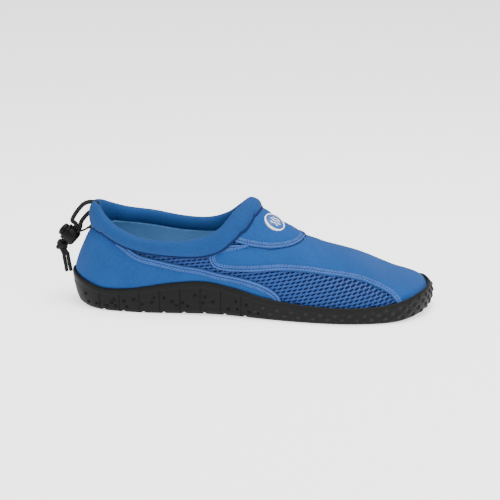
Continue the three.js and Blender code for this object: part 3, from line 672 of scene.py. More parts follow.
def cut_to(a, t, depth):
    """Moves the grid points just outside an area onto its edge, and says which points stay."""
    inside = depth > 0
    best = np.full(depth.shape, np.inf)
    new_a, new_t = a.copy(), t.copy()
    rows, columns = depth.shape

    def part(step, count):
        return slice(max(0, -step), count - max(0, step))

    for di, dj in itertools.product((-1, 0, 1), repeat=2):
        if di == dj == 0:
            continue
        here, there = ((part(sign * di, rows), part(sign * dj, columns)) for sign in (1, -1))
        usable = ~inside[here] & inside[there]
        reach = np.where(usable, depth[there] / (depth[there] - depth[here] + 1e-12), 0)
        cost = (1 - reach) * math.hypot(di, dj)
        better = usable & (cost < best[here])
        best[here] = np.where(better, cost, best[here])
        for new, old in ((new_a, a), (new_t, t)):
            new[here] = np.where(better, old[there] + (old[here] - old[there]) * reach, new[here])
    return new_a, new_t, inside | np.isfinite(best)


def stations(start, end, spacing, level=0.4):
    """Stations at equal distances along one level of the last."""
    a = np.linspace(start, end, 600)
    way = way_along(last_point(a, level))
    count = max(8, int(way[-1] / spacing))
    return np.interp(np.linspace(0, way[-1], count + 1), way, a)


def settings():
    return bpy.context.scene.water_shoe


class Wire:
    """A node socket that takes part in plain arithmetic."""

    def __init__(self, shader, socket):
        self.shader = shader
        self.socket = socket

    def maths(self, operation, *values):
        return self.shader.node("ShaderNodeMath", {"operation": operation},
                                dict(enumerate(values)))

    def __add__(self, other):
        return self.maths("ADD", self, other)

    __radd__ = __add__

    def __mul__(self, other):
        return self.maths("MULTIPLY", self, other)

    __rmul__ = __mul__

    def __sub__(self, other):
        return self.maths("SUBTRACT", self, other)

    def __rsub__(self, other):
        return self.maths("SUBTRACT", other, self)

    def __truediv__(self, other):
        return self.maths("DIVIDE", self, other)

    def __abs__(self):
        return self.maths("ABSOLUTE", self)

    def sine(self):
        return self.maths("SINE", self)

    def clamped(self):
        return self.maths("MINIMUM", self.maths("MAXIMUM", self, 0.0), 1.0)


class Shader:
    """A material and the nodes that make it."""

    def __init__(self, name):
        self.material = bpy.data.materials.new(name)
        self.material.use_nodes = True
        self.tree = self.material.node_tree
        self.tree.nodes.clear()

    def node(self, kind, options=None, inputs=None, output=0):
        """Adds any node: its options first, then its sockets."""
        made = self.tree.nodes.new(kind)
        for key, value in (options or {}).items():
            setattr(made, key, value)
        for key, value in (inputs or {}).items():
            socket = made.inputs[key]
            if isinstance(value, Wire):
                self.tree.links.new(value.socket, socket)
            else:
                socket.default_value = value
        return Wire(self, made.outputs[output]) if made.outputs else None

    def uv(self):
        """The two places on the piece's own UV map, in metres on cloth."""
        place = self.node("ShaderNodeUVMap", {"uv_map": "UVMap"}, output="UV")
        return [self.node("ShaderNodeSeparateXYZ", {}, {0: place}, axis) for axis in (0, 1)]

    def noise(self, scale, detail):
        """Noise that lies still in the piece's own space."""
        place = self.node("ShaderNodeTexCoord", output="Object")
        return self.node("ShaderNodeTexNoise", {}, {
            "Vector": place, "Scale": scale, "Detail": detail, "Roughness": 0.55}, "Fac")

    def mix(self, factor, one, two):
        """Mixes two colours; these numbers are the node's sockets for colours."""
        return self.node("ShaderNodeMix", {"data_type": "RGBA"},
                         {0: factor, 6: one, 7: two}, 2)

    def shades(self, factor, colour, dark, light):
        """One colour between a darker and a lighter shade of itself."""
        return self.mix(factor, rgba(colour, dark), rgba(colour, light))

    def bump(self, height, distance, strength):
        return self.node("ShaderNodeBump", {}, {
            "Height": height, "Distance": distance, "Strength": strength})

    def finish(self, **sockets):
        """Ends the material in one Principled shader; names use _ for a space."""
        inputs = {key.replace("_", " "): value for key, value in sockets.items()}
        shader = self.node("ShaderNodeBsdfPrincipled", {}, inputs)
        self.node("ShaderNodeOutputMaterial", {}, {"Surface": shader})
        return self.material


def rgba(colour, scale=1.0):
    return (*(min(1.0, c * scale) for c in colour), 1.0)


def knit_height(shader, across, along):
    """The ribs and courses of a fine jersey facing, from its UV map."""
    u, v = shader.uv()
    ribs = (u * (2 * math.pi / across)).sine()
    courses = (v * (2 * math.pi / along)).sine()
    return ribs * 0.5 + courses * abs(ribs) * 0.5


def neoprene_finish(name, colour):
    """Smooth knit facing on foam, slightly cloudy, with a soft sheen."""
    s = Shader(name)
    clouds = s.noise(38.0, 4.0)
    broad = s.noise(9.0, 2.0)
    grain = s.noise(900.0, 2.0)
    tone = s.shades((clouds * 0.6 + broad * 0.4 - 0.32) * 2.6, colour, 0.86, 1.12)
    fleck = s.mix((grain - 0.42) * 2.2, tone, rgba(colour, 1.28))
    normal = s.bump(knit_height(s, 0.9 * MM, 0.7 * MM) * 0.7 + grain * 0.6, 0.06 * MM, 0.6)
    return s.finish(Base_Color=fleck, Roughness=(clouds * 0.14 + 0.74).clamped(),
                    Normal=normal, Sheen_Weight=0.02, Sheen_Roughness=0.5,
                    Specular_IOR_Level=0.12)


def mesh_finish(name, colour):
    """Shiny yarn of the knitted mesh."""
    s = Shader(name)
    fibre = s.noise(1400.0, 3.0)
    tone = s.shades((fibre - 0.35) * 2.0, colour, 0.78, 1.2)
    normal = s.bump(fibre, 0.12 * MM, 0.7)
    return s.finish(Base_Color=tone, Roughness=0.5, Normal=normal, Sheen_Weight=0.05,
                    Specular_IOR_Level=0.2)


def cloth_finish(name, colour, scale, rough):
    """Plain matt cloth: lining, footbed and backing."""
    s = Shader(name)
    weave = s.noise(scale, 2.0)
    clouds = s.noise(30.0, 3.0)
    tone = s.shades((clouds - 0.3) * 2.0, colour, 0.82, 1.12)
    return s.finish(Base_Color=tone, Roughness=rough, Normal=s.bump(weave, 0.12 * MM, 0.6),
                    Sheen_Weight=0.02, Specular_IOR_Level=0.2)


def thread_finish(name, colour):
    """Lighter cover-stitch thread, with twisted plies."""
    s = Shader(name)
    ply = s.noise(2200.0, 2.0)
    patches = s.noise(60.0, 2.0)
    tone = s.shades((ply * 0.6 + patches * 0.5 - 0.35) * 2.2, colour, 0.80, 1.15)
    return s.finish(Base_Color=tone, Roughness=0.62, Normal=s.bump(ply, 0.1 * MM, 0.6),
                    Sheen_Weight=0.05, Specular_IOR_Level=0.3)


def rubber_finish(name, colour):
    """Moulded rubber, matt, a little paler on what stands out."""
    s = Shader(name)
    skin = s.noise(420.0, 3.0)
    blotch = s.noise(26.0, 4.0)
    mask = s.node("ShaderNodeAttribute", {"attribute_name": "mask"}, output="Fac")
    tone = s.shades((blotch - 0.35) * 2.2, colour, 0.82, 1.25)
    # The nubs, by the mask of what stands proud, are mixed a little towards pale grey
    paler_where_proud = s.mix((mask * (blotch + 0.35)).clamped() * 0.35, tone, rgba((0.030, 0.029, 0.028)))
    return s.finish(Base_Color=paler_where_proud, Roughness=(skin * 0.22 + blotch * 0.12 + 0.42).clamped(),
                    Normal=s.bump(skin, 0.12 * MM, 0.55), Specular_IOR_Level=0.12)


def plastic_finish(name, colour, rough, shine):
    """Moulded plastic with faint handling marks."""
    s = Shader(name)
    marks = s.noise(260.0, 4.0)
    cloud = s.noise(40.0, 2.0)
    tone = s.shades((cloud - 0.3) * 1.6, colour, 0.88, 1.12)
    return s.finish(Base_Color=tone, Roughness=(marks * 0.2 + rough - 0.1).clamped(),
                    Normal=s.bump(marks, 0.04 * MM, 0.25), Specular_IOR_Level=shine)


def braid_finish(name, colour):
    """Braided cord: strands crossing around it, from its UV map, with painted highlight on the
    strands and painted shade between them.
    """
    s = Shader(name)
    u, v = s.uv()
    turn = u * (2 * math.pi * 4)
    rise = v * (2 * math.pi / (3.2 * MM))
    strands = abs((turn + rise).sine()) + abs((turn - rise).sine())
    # Painted highlight on the strands and painted shade in the grooves between them, from the same
    # height as the bump
    tone = s.shades((strands * 0.5).clamped(), colour, 0.55, 1.5)
    return s.finish(Base_Color=tone, Roughness=0.72, Specular_IOR_Level=0.25,
                    Normal=s.bump(strands, 0.14 * MM, 0.8))


def webbing_finish(name, colour):
    """Woven tape, with painted highlight where the weave stands high and painted shade where it
    lies low.
    """
    s = Shader(name)
    u, v = s.uv()
    weave = (u * (2 * math.pi / (0.8 * MM))).sine() * (v * (2 * math.pi / (0.8 * MM))).sine()
    # Painted highlight and shade, from the same weave height as the bump
    tone = s.shades(weave * 0.5 + 0.5, colour, 0.6, 1.5)
    return s.finish(Base_Color=tone, Roughness=0.8, Normal=s.bump(weave, 0.15 * MM, 0.8))


def floor_finish(name, colour):
    s = Shader(name)
    specks = s.noise(60.0, 3.0)
    tone = s.shades(specks, colour, 0.985, 1.01)
    return s.finish(Base_Color=tone, Roughness=0.85, Specular_IOR_Level=0.15,
                    Emission_Color=(1, 1, 1, 1), Emission_Strength=1.2)


# Each finish: its material slot, its maker, the setting with its colour, and its own values
FINISHES = {
    "neoprene": ("neoprene_blue", neoprene_finish, "neoprene_colour"),
    "collar_neoprene": ("neoprene_blue", neoprene_finish, "collar_colour"),
    # The lining's colour holds painted light
    "lining": ("lining_fabric", cloth_finish, "lining_colour", 1100.0, 0.85),
    "footbed": ("lining_fabric", cloth_finish, "footbed_colour", 700.0, 0.9),
    "mesh_yarn": ("mesh_fabric", mesh_finish, "mesh_colour"),
    "mesh_backing": ("mesh_fabric", cloth_finish, "backing_colour", 900.0, 0.9),
    "thread": ("neoprene_blue", thread_finish, "thread_colour"),
    # Painted shade of the needle holes and of the collar's crease
    "needle_holes": ("neoprene_blue", cloth_finish, "hole_colour", 900.0, 0.9),
    "seam_tape": ("neoprene_blue", thread_finish, "seam_colour"),
    "rubber": ("sole_rubber", rubber_finish, "rubber_colour"),
    "badge_white": ("badge_plastic", plastic_finish, "badge_colour", 0.36, 0.3),
    "badge_blue": ("badge_plastic", plastic_finish, "badge_field_colour", 0.42, 0.3),
    "lock_plastic": ("black_plastic", plastic_finish, "lock_colour", 0.42, 0.12),
    "braid": ("black_cord", braid_finish, "cord_colour"),
    "webbing": ("black_webbing", webbing_finish, "cord_colour"),
    "floor": (None, floor_finish, "floor_colour"),
}


def material(key):
    """The finish of one kind of piece, made once."""
    name = key.replace("_", " ")
    if name in bpy.data.materials:
        return bpy.data.materials[name]
    _, finish, colour, *values = FINISHES[key]
    return finish(name, getattr(settings(), colour), *values)


def colour_setting(name, description, value):
    return FloatVectorProperty(name=name, description=description, default=value, size=3,
                               min=0.0, max=1.0, subtype="COLOR")


def length_setting(name, description, millimetres):
    return FloatProperty(name=name, description=description, default=millimetres * MM,
                         unit="LENGTH", precision=5)


class WaterShoeSettings(bpy.types.PropertyGroup):
    """Sizes and colours that a user would change"""
    spacing: length_setting("Surface spacing", "Distance between the points of a panel", 1.25)
    mesh_pitch: length_setting("Mesh pitch", "Distance between two holes of a mesh row", 4.2)
    mesh_rows: length_setting("Mesh row pitch", "Distance between two rows of the mesh", 2.5)
    mesh_strand: length_setting("Mesh strand", "Half the width of the mesh's strands", 0.47)
    band_width: length_setting("Seam band", "Width of a cover-stitched seam", 4.0)
    stitch_pitch: length_setting("Stitch pitch", "Distance between two stitches", 2.3)
    cord: length_setting("Drawcord", "Diameter of the drawcord", 3.4)
    nub: length_setting("Nub height", "How far the toe's nubs stand out", 1.2)
    stations: IntProperty(name="Sole stations", description="Points around the sole", default=896)
    neoprene_colour: colour_setting("Neoprene", "Panels of the upper", (0.0072, 0.047, 0.172))
    collar_colour: colour_setting("Collar", "Rolled edge of the opening", (0.0068, 0.041, 0.145))
    # Lightened far past the neoprene: painted light that stands in for the light falling inside
    # the upper
    lining_colour: colour_setting("Lining", "Inside of the upper", (0.075, 0.215, 0.460))
    footbed_colour: colour_setting("Footbed", "Top of the insole", (0.006, 0.016, 0.050))
    mesh_colour: colour_setting("Mesh", "Strands of the mesh", (0.0085, 0.050, 0.210))
    backing_colour: colour_setting("Mesh backing", "What shows through the mesh",
                                   (0.0015, 0.004, 0.030))
    thread_colour: colour_setting("Thread", "Cover-stitched seams", (0.022, 0.092, 0.330))
    seam_colour: colour_setting("Seam", "Bands of the seams", (0.0085, 0.056, 0.215))
    # Near-black painted shade: dots for the needle holes and a tube along the collar's crease
    hole_colour: colour_setting("Needle holes", "Needle holes and creases of the seams",
                                (0.0020, 0.010, 0.060))
    rubber_colour: colour_setting("Rubber", "Cup sole", (0.0042, 0.0042, 0.0044))
    badge_colour: colour_setting("Badge", "Rim and waves of the badge", (0.80, 0.80, 0.77))
    badge_field_colour: colour_setting("Badge field", "Ground of the badge", (0.012, 0.072, 0.260))
    lock_colour: colour_setting("Cord lock", "Barrel and button", (0.0016, 0.0016, 0.0018))
    cord_colour: colour_setting("Drawcord", "Braid of the drawcord", (0.003, 0.003, 0.0033))
    floor_colour: colour_setting("Floor", "Studio floor", (0.86, 0.86, 0.86))


def sidewall_inset(up, a):
    """How far the sole's side lies inside its outline, at a share of the wall's height."""
    def near(rows):
        return np.cos(math.pi / 2 * np.minimum(np.abs(rows) / END_ROWS, 1))
    heel = near(np.minimum(a, AROUND - a))
    toe = near(a - LAST_ROW)
    base, at_heel, at_toe = (np.interp(up, SIDEWALL["up"], SIDEWALL[name]) * MM
                             for name in ("inset", "heel_in", "toe_in"))
    return base + at_heel * heel + at_toe * toe


def trough(distance, width):
    """1 in the middle of a rounded groove, 0 at half its width."""
    return np.cos(np.clip(np.abs(distance) / width, 0, 0.5) * math.pi)


def channel_places():
    return along_x(RIB_FROM) + RIB_PITCH * np.arange(CHANNELS)


# Pits of one bay of the rear sidewall, as shares of the bay and of the wall
PITS = [(0.24, 0.68), (0.62, 0.50), (0.38, 0.26), (0.82, 0.30), (0.74, 0.74), (0.14, 0.42)]
PITS_OF_BAY = [(0, 2, 3), (1, 3, 4, 2), (0, 2, 4), (1, 5, 4), (0, 3, 1), (4, 2, 5),
               (1, 5, 0), (3, 4, 2), (2, 0, 3)]


def sidewall_relief(x, up, wall, way):
    """What stands out of the sole's side, in metres, and a mask of what is proud."""
    height = up * wall
    smooth_from = wall - GROOVE_MARGIN
    body = soft(smooth_from - height, -0.2 * MM, 0.8 * MM)
    relief = -BODY_SUNK * body
    rear = soft(along_x(RIBS_END) - x, 0, 6 * MM)
    places = channel_places() + GROOVE_SHIFT
    for place in places:
        relief -= RIB_DEPTH * trough(x - place, RIB_WIDTH) * body * rear
    for bay, wanted in enumerate(PITS_OF_BAY):
        start = places[0] + (bay - 1) * RIB_PITCH
        for across, level in (PITS[pit] for pit in wanted):
            dx = np.abs(x - start - across * RIB_PITCH) / PIT_REACH
            dz = np.abs(height - 2 * MM - level * (smooth_from - 3 * MM)) / PIT_REACH
            relief -= PIT_DEPTH * soft(1 - dx - dz, 0, 0.5) * rear
    mask = np.zeros(x.shape)
    fore = soft(x - along_x(NUBS_FROM), 0, 10 * MM)
    proud = settings().nub * (0.45 + 0.55 * soft(x, along_x(0.84), along_x(0.95)))
    toe = soft(x, along_x(0.80), along_x(0.90))
    for row, (level, where) in enumerate(zip(NUB_LEVELS, (toe, 1, 1, toe))):
        phase = (way / NUB_PITCH + row * 0.5) % 1.0 - 0.5
        reach = np.hypot(phase * NUB_PITCH, height - level * wall) / (NUB_REACH + TOE_NUB * toe)
        nub = soft(1 - reach, 0, 0.75) * fore * where
        relief += proud * nub
        mask = np.maximum(mask, nub)
    return relief, mask


def tread(x, y):
    """Depth of the grooves under the sole: channels at the rear, zigzags at the front."""
    deep = np.zeros(x.shape)
    for place in channel_places():
        channel = np.clip(1 - np.abs(x - place) / (CHANNEL_WIDTH / 2), 0, 1)
        deep = np.maximum(deep, CHANNEL_DEPTH * channel)
    fore = soft(x - along_x(ZIGZAGS_FROM), 0, 4 * MM)
    zigzag = np.abs((y / (14 * MM)) % 1.0 - 0.5) * 6 * MM
    line = np.abs(((x + zigzag) / ZIGZAG_PITCH) % 1.0 - 0.5) * ZIGZAG_PITCH
    return np.maximum(deep, ZIGZAG_DEPTH * np.clip(1.6 - line / (0.9 * MM), 0, 1) * fore)


class WATERSHOE_OT_outsole(bpy.types.Operator):
    """Cup sole: ribbed and studded side, rounded rim, inner wall and tread"""
    bl_idname = "watershoe.outsole"
    bl_label = "Outsole"

    def execute(self, context):
        count = settings().stations
        a_line = stations(0, AROUND, 0.1 * MM, 0.0)
        a_line = np.interp(np.linspace(0, 1, count + 1), np.linspace(0, 1, len(a_line)), a_line)
        edge = outline(a_line)[0]
        rise = np.concatenate([[0.0], np.linspace(0.03, 0.97, SIDE_ROWS)])
        a, up = np.meshgrid(a_line, rise, indexing="ij")
        flat, outward = outline(a, sidewall_inset(up, a))
        low = lift(flat[..., 0])
        wall = lip_height(a) - low
        relief, proud = sidewall_relief(flat[..., 0], up, wall, way_along(edge)[:, None])
        relief *= soft(up, 0.0, 0.05)
        side = raised(flat + outward * relief[..., None], low + wall * up)
        outer = sidewall_inset(np.full(a_line.shape, 0.97), a_line)
        inner = lip_wall(edge[:, 0]) - 1.0 * MM
        rows = []
        for turn in np.radians(np.linspace(20, 160, 6)):
            inset = (outer + inner) / 2 - (inner - outer) / 2 * math.cos(turn)
            rows.append(raised(outline(a_line, inset)[0],
                               lip_height(a_line) - RIM_ROUND * (1 - math.sin(turn))))
        for s in (0.0, 0.35, 0.7, 1.0):
            deep = (lip_height(a_line) - TUCK) * (1 - s) + (FLOOR + lift(edge[:, 0])) * s
            rows.append(raised(outline(a_line, (FEATHER - GAP) * s, 1)[0], deep))
        rings = np.concatenate([side, np.stack(rows, 1)], 1)
        x, y, z = np.moveaxis(rings, -1, 0)
        cut = (z < CHANNEL_DEPTH + 0.5 * MM) & (x < along_x(ZIGZAGS_FROM))
        lowest = np.where(z < CHANNEL_DEPTH + 4 * MM, lift(x) + np.where(cut, tread(x, y), 0), 0)
        rings[..., 2] = np.maximum(z, lowest)
        rings[-1] = rings[0]
        mask = np.zeros(rings.shape[:2])
        mask[:, :len(rise)] = proud
        bm = patch_mesh(rings, mask=mask)
        under, s = plate_across(rings[:, 0], 64)
        blend = soft(np.minimum(s, 1 - s), 0, 0.02)
        grooved = lift(under[..., 0]) + tread(under[..., 0], under[..., 1])
        under[..., 2] = under[..., 2] * (1 - blend) + grooved * blend
        joined(bm, patch_mesh(under))
        joined(bm, patch_mesh(plate_across(rings[:, -1], 10)[0]))
        closed_up(bm)
        dressed(finished("outsole_rubber", bm), "rubber", "outsole")
        return {"FINISHED"}


class WATERSHOE_OT_inside(bpy.types.Operator):
    """Lining shell and footbed"""
    bl_idname = "watershoe.inside"
    bl_label = "Lining and footbed"

    def execute(self, context):
        a_line = stations(0, AROUND, 2.2 * MM)
        t_line = np.concatenate([np.linspace(-1, 0, 6)[:-1], np.linspace(0, 1, 44)])
        a, t = np.meshgrid(a_line, t_line, indexing="ij")
        a, t, keep = cut_to(a, t, from_opening(last_point(a, t), a > LAST_ROW) - 0.4 * MM)
        points = upper_point(np.clip(a, 0, AROUND), t, -0.9 * MM)
        tip = (np.abs(a - LAST_ROW) < 0.3) & (t > 0.6)
        points[tip, 0] = np.minimum(points[tip, 0], TIP[0] - 2 * MM)
        # The lining's colour is lightened: painted light inside the upper, where the lamps reach
        # little
        lining = finished("lining_shell", patch_mesh(points, keep=keep, merge=0.2 * MM))
        walled(lining, LINING_SKIN)
        dressed(lining, "lining", "upper")
        self.footbed()
        return {"FINISHED"}

    def footbed(self):
        """The insole: a plate with a rounded edge, hollowed a little under the heel."""
        ring = stations(0, AROUND, 4 * MM, 0.0)
        inset = FEATHER + WALL + 2 * GAP
        rows = []
        for extra, up in ((0.0, 0.4), (-0.5, 1.2), (-0.5, 3.0), (0.2, 3.9), (1.2, INSOLE / MM)):
            flat = outline(ring, inset + extra * MM, 1)[0]
            rows.append(raised(flat, FLOOR + lift(flat[..., 0]) + up * MM))
        rim = np.stack(rows, 1)
        rim[-1] = rim[0]
        bm = patch_mesh(rim)
        joined(bm, patch_mesh(plate_across(rim[:, 0], 24)[0]))
        top, s = plate_across(rim[:, -1], 24)
        bowl = np.sin(np.pi * s) * (1.35 - share(top[..., 0], along_x(0.08), along_x(0.30)))
        top[..., 2] -= 0.8 * MM * bowl
        joined(bm, patch_mesh(top))
        closed_up(bm)
        dressed(finished("footbed", bm), "footbed", "insole")


def mesh_depth(a, points, medial, margin):
    """Distance into the mesh's area, which the panels' bands overlap by margin."""
    flat = points[..., [0, 2]]
    return np.minimum.reduce([
        margin - depth_inside(flat, HEEL_AREA),
        margin - depth_inside(flat, VAMP_AREA),
        from_opening(points, medial) + margin,
        from_rim(a, points),
    ])


class WATERSHOE_OT_mesh(bpy.types.Operator):
    """Open knitted mesh of both sides, each strand modelled, over its dark backing"""
    bl_idname = "watershoe.mesh"
    bl_label = "Mesh"

    def execute(self, context):
        s = settings()
        for side in SIDES:
            medial = side == "medial"
            a, t = np.meshgrid(stations(*SIDE_STATIONS[side], 2.4 * MM), np.linspace(0, 0.9, 40),
                               indexing="ij")
            a, t, keep = cut_to(a, t, mesh_depth(a, last_point(a, t), medial, 3 * MM))
            bm = patch_mesh(upper_point(a, t, -0.1 * MM), keep=keep)
            backing = finished("mesh_backing_" + side, bm)
            walled(backing, BACKING_SKIN)
            dressed(backing, "mesh_backing")

            columns = int(MESH_SPAN * LENGTH / s.mesh_pitch)
            rows = int(MESH_HEIGHT / s.mesh_rows)
            i, j = np.meshgrid(np.arange(columns + 1), np.arange(rows + 1), indexing="ij")
            x = along_x(MESH_FROM) + (i + (j - rows / 2) * MESH_LEAN) * s.mesh_pitch
            z = MESH_LOWEST + j * s.mesh_rows + 0.12 * x + 0.65 * np.maximum(x, 0) ** 2
            bm = patch_mesh(np.stack([x, z * 0, z], -1))
            holes = bm.faces[:]
            bmesh.ops.inset_individual(bm, faces=holes, thickness=s.mesh_strand,
                                       use_even_offset=True)
            bmesh.ops.delete(bm, geom=holes, context="FACES")
            flat = np.array([(v.co.x, v.co.z) for v in bm.verts])
            a, t = locate(flat, side)
            points = last_point(a, t)
            miss = np.linalg.norm(points[:, [0, 2]] - flat, axis=-1)
            low, high = MESH_BETWEEN
            keep = (mesh_depth(a, points, medial, MESH_LAP) > -MESH_LAP) & (miss < MISS) \
                & (flat[:, 1] > low) & (flat[:, 1] < high)
            gone = [vert for vert, stays in zip(bm.verts, keep) if not stays]
            for vert, where in zip(bm.verts, upper_point(a, t, 0.15 * MM)):
                vert.co = where
            bmesh.ops.delete(bm, geom=gone, context="VERTS")
            bmesh.ops.recalc_face_normals(bm, faces=bm.faces)
            if (sum(face.normal.y for face in bm.faces) > 0) != medial:
                bmesh.ops.reverse_faces(bm, faces=bm.faces)
            mesh = finished("mesh_" + side, bm)
            walled(mesh, MESH_SKIN, 1.0)
            modifier(mesh, "SUBSURF", "round", levels=1, render_levels=1)
            dressed(mesh, "mesh_yarn")
        return {"FINISHED"}


def panel_offset(depth, rim, points):
    """Height of a panel over the last: pulled down at its seams, with soft creases."""
    seam = soft(depth, 0.0, SEAM_SLOPE)
    tucked = soft(rim, 0.0, RIM_SLOPE)
    full = GAP + PANEL * (PANEL_AT_SEAM + (1 - PANEL_AT_SEAM) * seam)
    pillow = PILLOW * np.exp(-((depth - PILLOW_AT) / PILLOW_WIDTH) ** 2)
    return (full + pillow - crease_depth(points)) * tucked + PANEL_AT_RIM * (1 - tucked)


class WATERSHOE_OT_panels(bpy.types.Operator):
    """Heel, vamp and instep panels, cut to their outlines and sunk along their seams"""
    bl_idname = "watershoe.panels"
    bl_label = "Panels"

    def execute(self, context):
        spacing = settings().spacing
        heel_a = stations(*HEEL_STATIONS, spacing)
        front_a = stations(*FRONT_STATIONS, spacing)
        jobs = [
            ("heel_neoprene", heel_a, np.linspace(-0.25, 1.0, 68), "heel_panel",
             lambda flat: depth_inside(flat, HEEL_AREA)),
            ("vamp_neoprene", front_a, np.linspace(-0.25, 2.25, 132), "vamp_panel",
             lambda flat: np.minimum(depth_inside(flat, VAMP_AREA),
                                     -depth_inside(flat, INSTEP_AREA) - SEAM)),
            ("instep_neoprene", front_a, np.linspace(0.2, 1.8, 110), "instep_panel",
             lambda flat: depth_inside(flat, INSTEP_AREA)),
        ]
        for name, a_line, t_line, node, area in jobs:
            def fields(a, t):
                points = last_point(a, t)
                own = np.minimum(area(points[..., [0, 2]]),
                                 from_opening(points, (a < 0) | (t > 1)) - 0.3 * MM)
                return points, own, from_rim(np.where(t > 1, AROUND - a, a), points)

            a, t = np.meshgrid(a_line, t_line, indexing="ij")
            _, own, rim = fields(a, t)
            a, t, keep = cut_to(a, t, np.minimum(own, rim + 2 * MM))
            points, own, rim = fields(a, t)
            place = upper_point(a, t, panel_offset(np.maximum(own, 0), rim, points))
            piece = finished(name, patch_mesh(place, keep=keep))
            walled(piece, PANEL_SKIN)
            dressed(piece, "neoprene", node)
        return {"FINISHED"}


def band_paths():
    """The cover-stitched edges: name, side, side-view line, and which side of it is the panel."""
    paths = []
    for side in SIDES:
        paths.append(("heel_" + side, side, HEEL_LINE[2:-4], -1))
        paths.append(("vamp_" + side, side, VAMP_LINE[3:], -1))
        paths.append(("instep_" + side, side, INSTEP_LINE[2:], 1))
    return paths


def resampled(points, spacing):
    """A line's points at equal distances, and the way to each."""
    way = way_along(points)
    at = np.linspace(0, way[-1], max(4, int(way[-1] / spacing)) + 1)
    return np.stack([np.interp(at, way, column) for column in points.T], -1), at


def smoothed(points, times):
    for _ in range(times):
        points[1:-1] = (points[:-2] + 2 * points[1:-1] + points[2:]) / 4
    return points


# Rows of a seam's stitches: what they are of, their place across the band, their shift along it
# in stitches, their lean, their half sizes in millimetres and their height over the panel
STITCH_ROWS = [
    ("thread", 0.12, 0.00, 0.10, (1.22, 0.36, 0.34), 0.94),
    ("thread", 0.60, 0.50, 0.12, (1.10, 0.30, 0.30), 0.94),
    ("thread", 0.90, 0.50, 0.70, (0.80, 0.34, 0.30), 0.72),
    # These rows, dark beads nearly flush with the band, are painted shade of the needle holes
    ("needle_holes", 0.36, 0.25, 0.12, (0.74, 0.36, 0.22), 0.98),
    ("needle_holes", 0.78, 0.00, 0.30, (0.50, 0.34, 0.20), 0.93),
]


class WATERSHOE_OT_seams(bpy.types.Operator):
    """Cover-stitched seam bands with their stitches, and dark dots of painted shade for their
    needle holes
    """
    bl_idname = "watershoe.seams"
    bl_label = "Seams"

    def execute(self, context):
        for name, side, line, panel_side in band_paths():
            flat, _ = resampled(line, 0.5 * MM)
            a, t = locate(flat, side)
            points = last_point(a, t)
            miss = np.linalg.norm(points[:, [0, 2]] - flat, axis=-1)
            good = (miss < MISS) & (from_rim(a, points) > -0.5 * MM) \
                & (from_opening(points, side == "medial") > -3 * MM)
            centre = smoothed(points[good], 6)
            normal = smoothed(surface_normal(a[good], t[good]), 6)
            # the normals ride along with the points, too small to count in the line's length
            both, way = resampled(np.concatenate([centre, normal * 1e-5], -1), 0.45 * MM)
            centre, normal = both[:, :3], unit(both[:, 3:])
            run = unit(np.gradient(centre, axis=0))
            across = unit(np.cross(normal, run)) * panel_side * (-1 if side == "medial" else 1)
            width = np.full(len(way), settings().band_width)
            if "vamp" in name:
                width *= soft(way[-1] - way, -5 * MM, 14 * MM)
            place = np.linspace(0, 1, 12)
            w = -BAND_LAP + (width[:, None] + BAND_LAP) * place
            turns = 2 * np.pi * way[:, None]
            height = (SEAM_SEAT + BAND_RISE) * np.sin(np.pi * np.clip(place * 6, 0, 0.5)) \
                - BAND_FALL * soft(place, 0.82, 1.0) \
                - BAND_RIDGES * np.cos(4 * np.pi * place) * soft(place, 0, 0.2) \
                + PLY_HEIGHT * np.sin((turns + 3.2 * np.pi * MM * place) / PLY_PITCH) \
                + SWAY_HEIGHT * np.sin(turns / SWAY_PITCH)
            points = centre[:, None] + across[:, None] * w[..., None] \
                + normal[:, None] * height[..., None]
            band = finished("seam_" + name, patch_mesh(points))
            walled(band, BAND_SKIN, 0.0)
            dressed(band, "seam_tape")
            self.stitches(name, centre, (run, across, normal), way, width)
        return {"FINISHED"}

    def stitches(self, name, centre, axes, way, width):
        """Bright rows of thread, and dark dots of painted shade for the needle holes between and
        beside them.
        """
        pitch = settings().stitch_pitch
        rng = np.random.default_rng(7)
        for kind in ("thread", "needle_holes"):
            rows = [row[1:] for row in STITCH_ROWS if row[0] == kind]
            bm = bmesh.new()
            for k in range(int(way[-1] / pitch)):
                part = bmesh.new()
                for place, shift, lean, size, high in rows:
                    i = min(int(np.searchsorted(way, (k + 0.5 + shift) * pitch)), len(way) - 1)
                    run, across, normal = (axis[i] for axis in axes)
                    turn = lean + rng.uniform(-0.12, 0.12)
                    forward = run * math.cos(turn) + across * math.sin(turn)
                    middle = centre[i] + across * width[i] * place \
                        + normal * (SEAM_SEAT + high * MM)
                    bead(part, middle, (forward, np.cross(normal, forward), normal), size)
                joined(bm, part)
            dressed(finished(kind + "_" + name, bm), kind)


def level_where(is_low, shape=()):
    """The level between 0 and 1 where is_low stops being true."""
    low, high = np.zeros(shape), np.ones(shape)
    for _ in range(24):
        middle = (low + high) / 2
        below = is_low(middle)
        low, high = np.where(below, middle, low), np.where(below, high, middle)
    return high


def edge_point(r):
    """Where a line of the last meets the upper's edge, at rows of the rim's table."""
    a = np.where(r <= RIM_ROWS, r, r + AROUND - 2 * RIM_ROWS)

    def is_low(level):
        point = last_point(a, level)
        limits = [np.interp(point[..., 0], *EDGE_LINE[side].T) for side in SIDES]
        limit = np.where(a > LAST_ROW, limits[1], limits[0])
        limit = np.where(point[..., 0] > EDGE_LINE["lateral"][-1, 0], OVER, limit)
        return point[..., 2] < limit

    return last_point(a, level_where(is_low, a.shape))


def rim_point(r):
    x = loop(along_x(RIM["at"]))
    y = loop(RIM["lateral"] * BALL_WIDTH, RIM["medial"] * BALL_WIDTH)
    z = loop(RIM["lateral_up"] * COLLAR_HEIGHT, RIM["medial_up"] * COLLAR_HEIGHT)
    return np.stack([smooth(column, r) for column in (x, y, z)], -1)


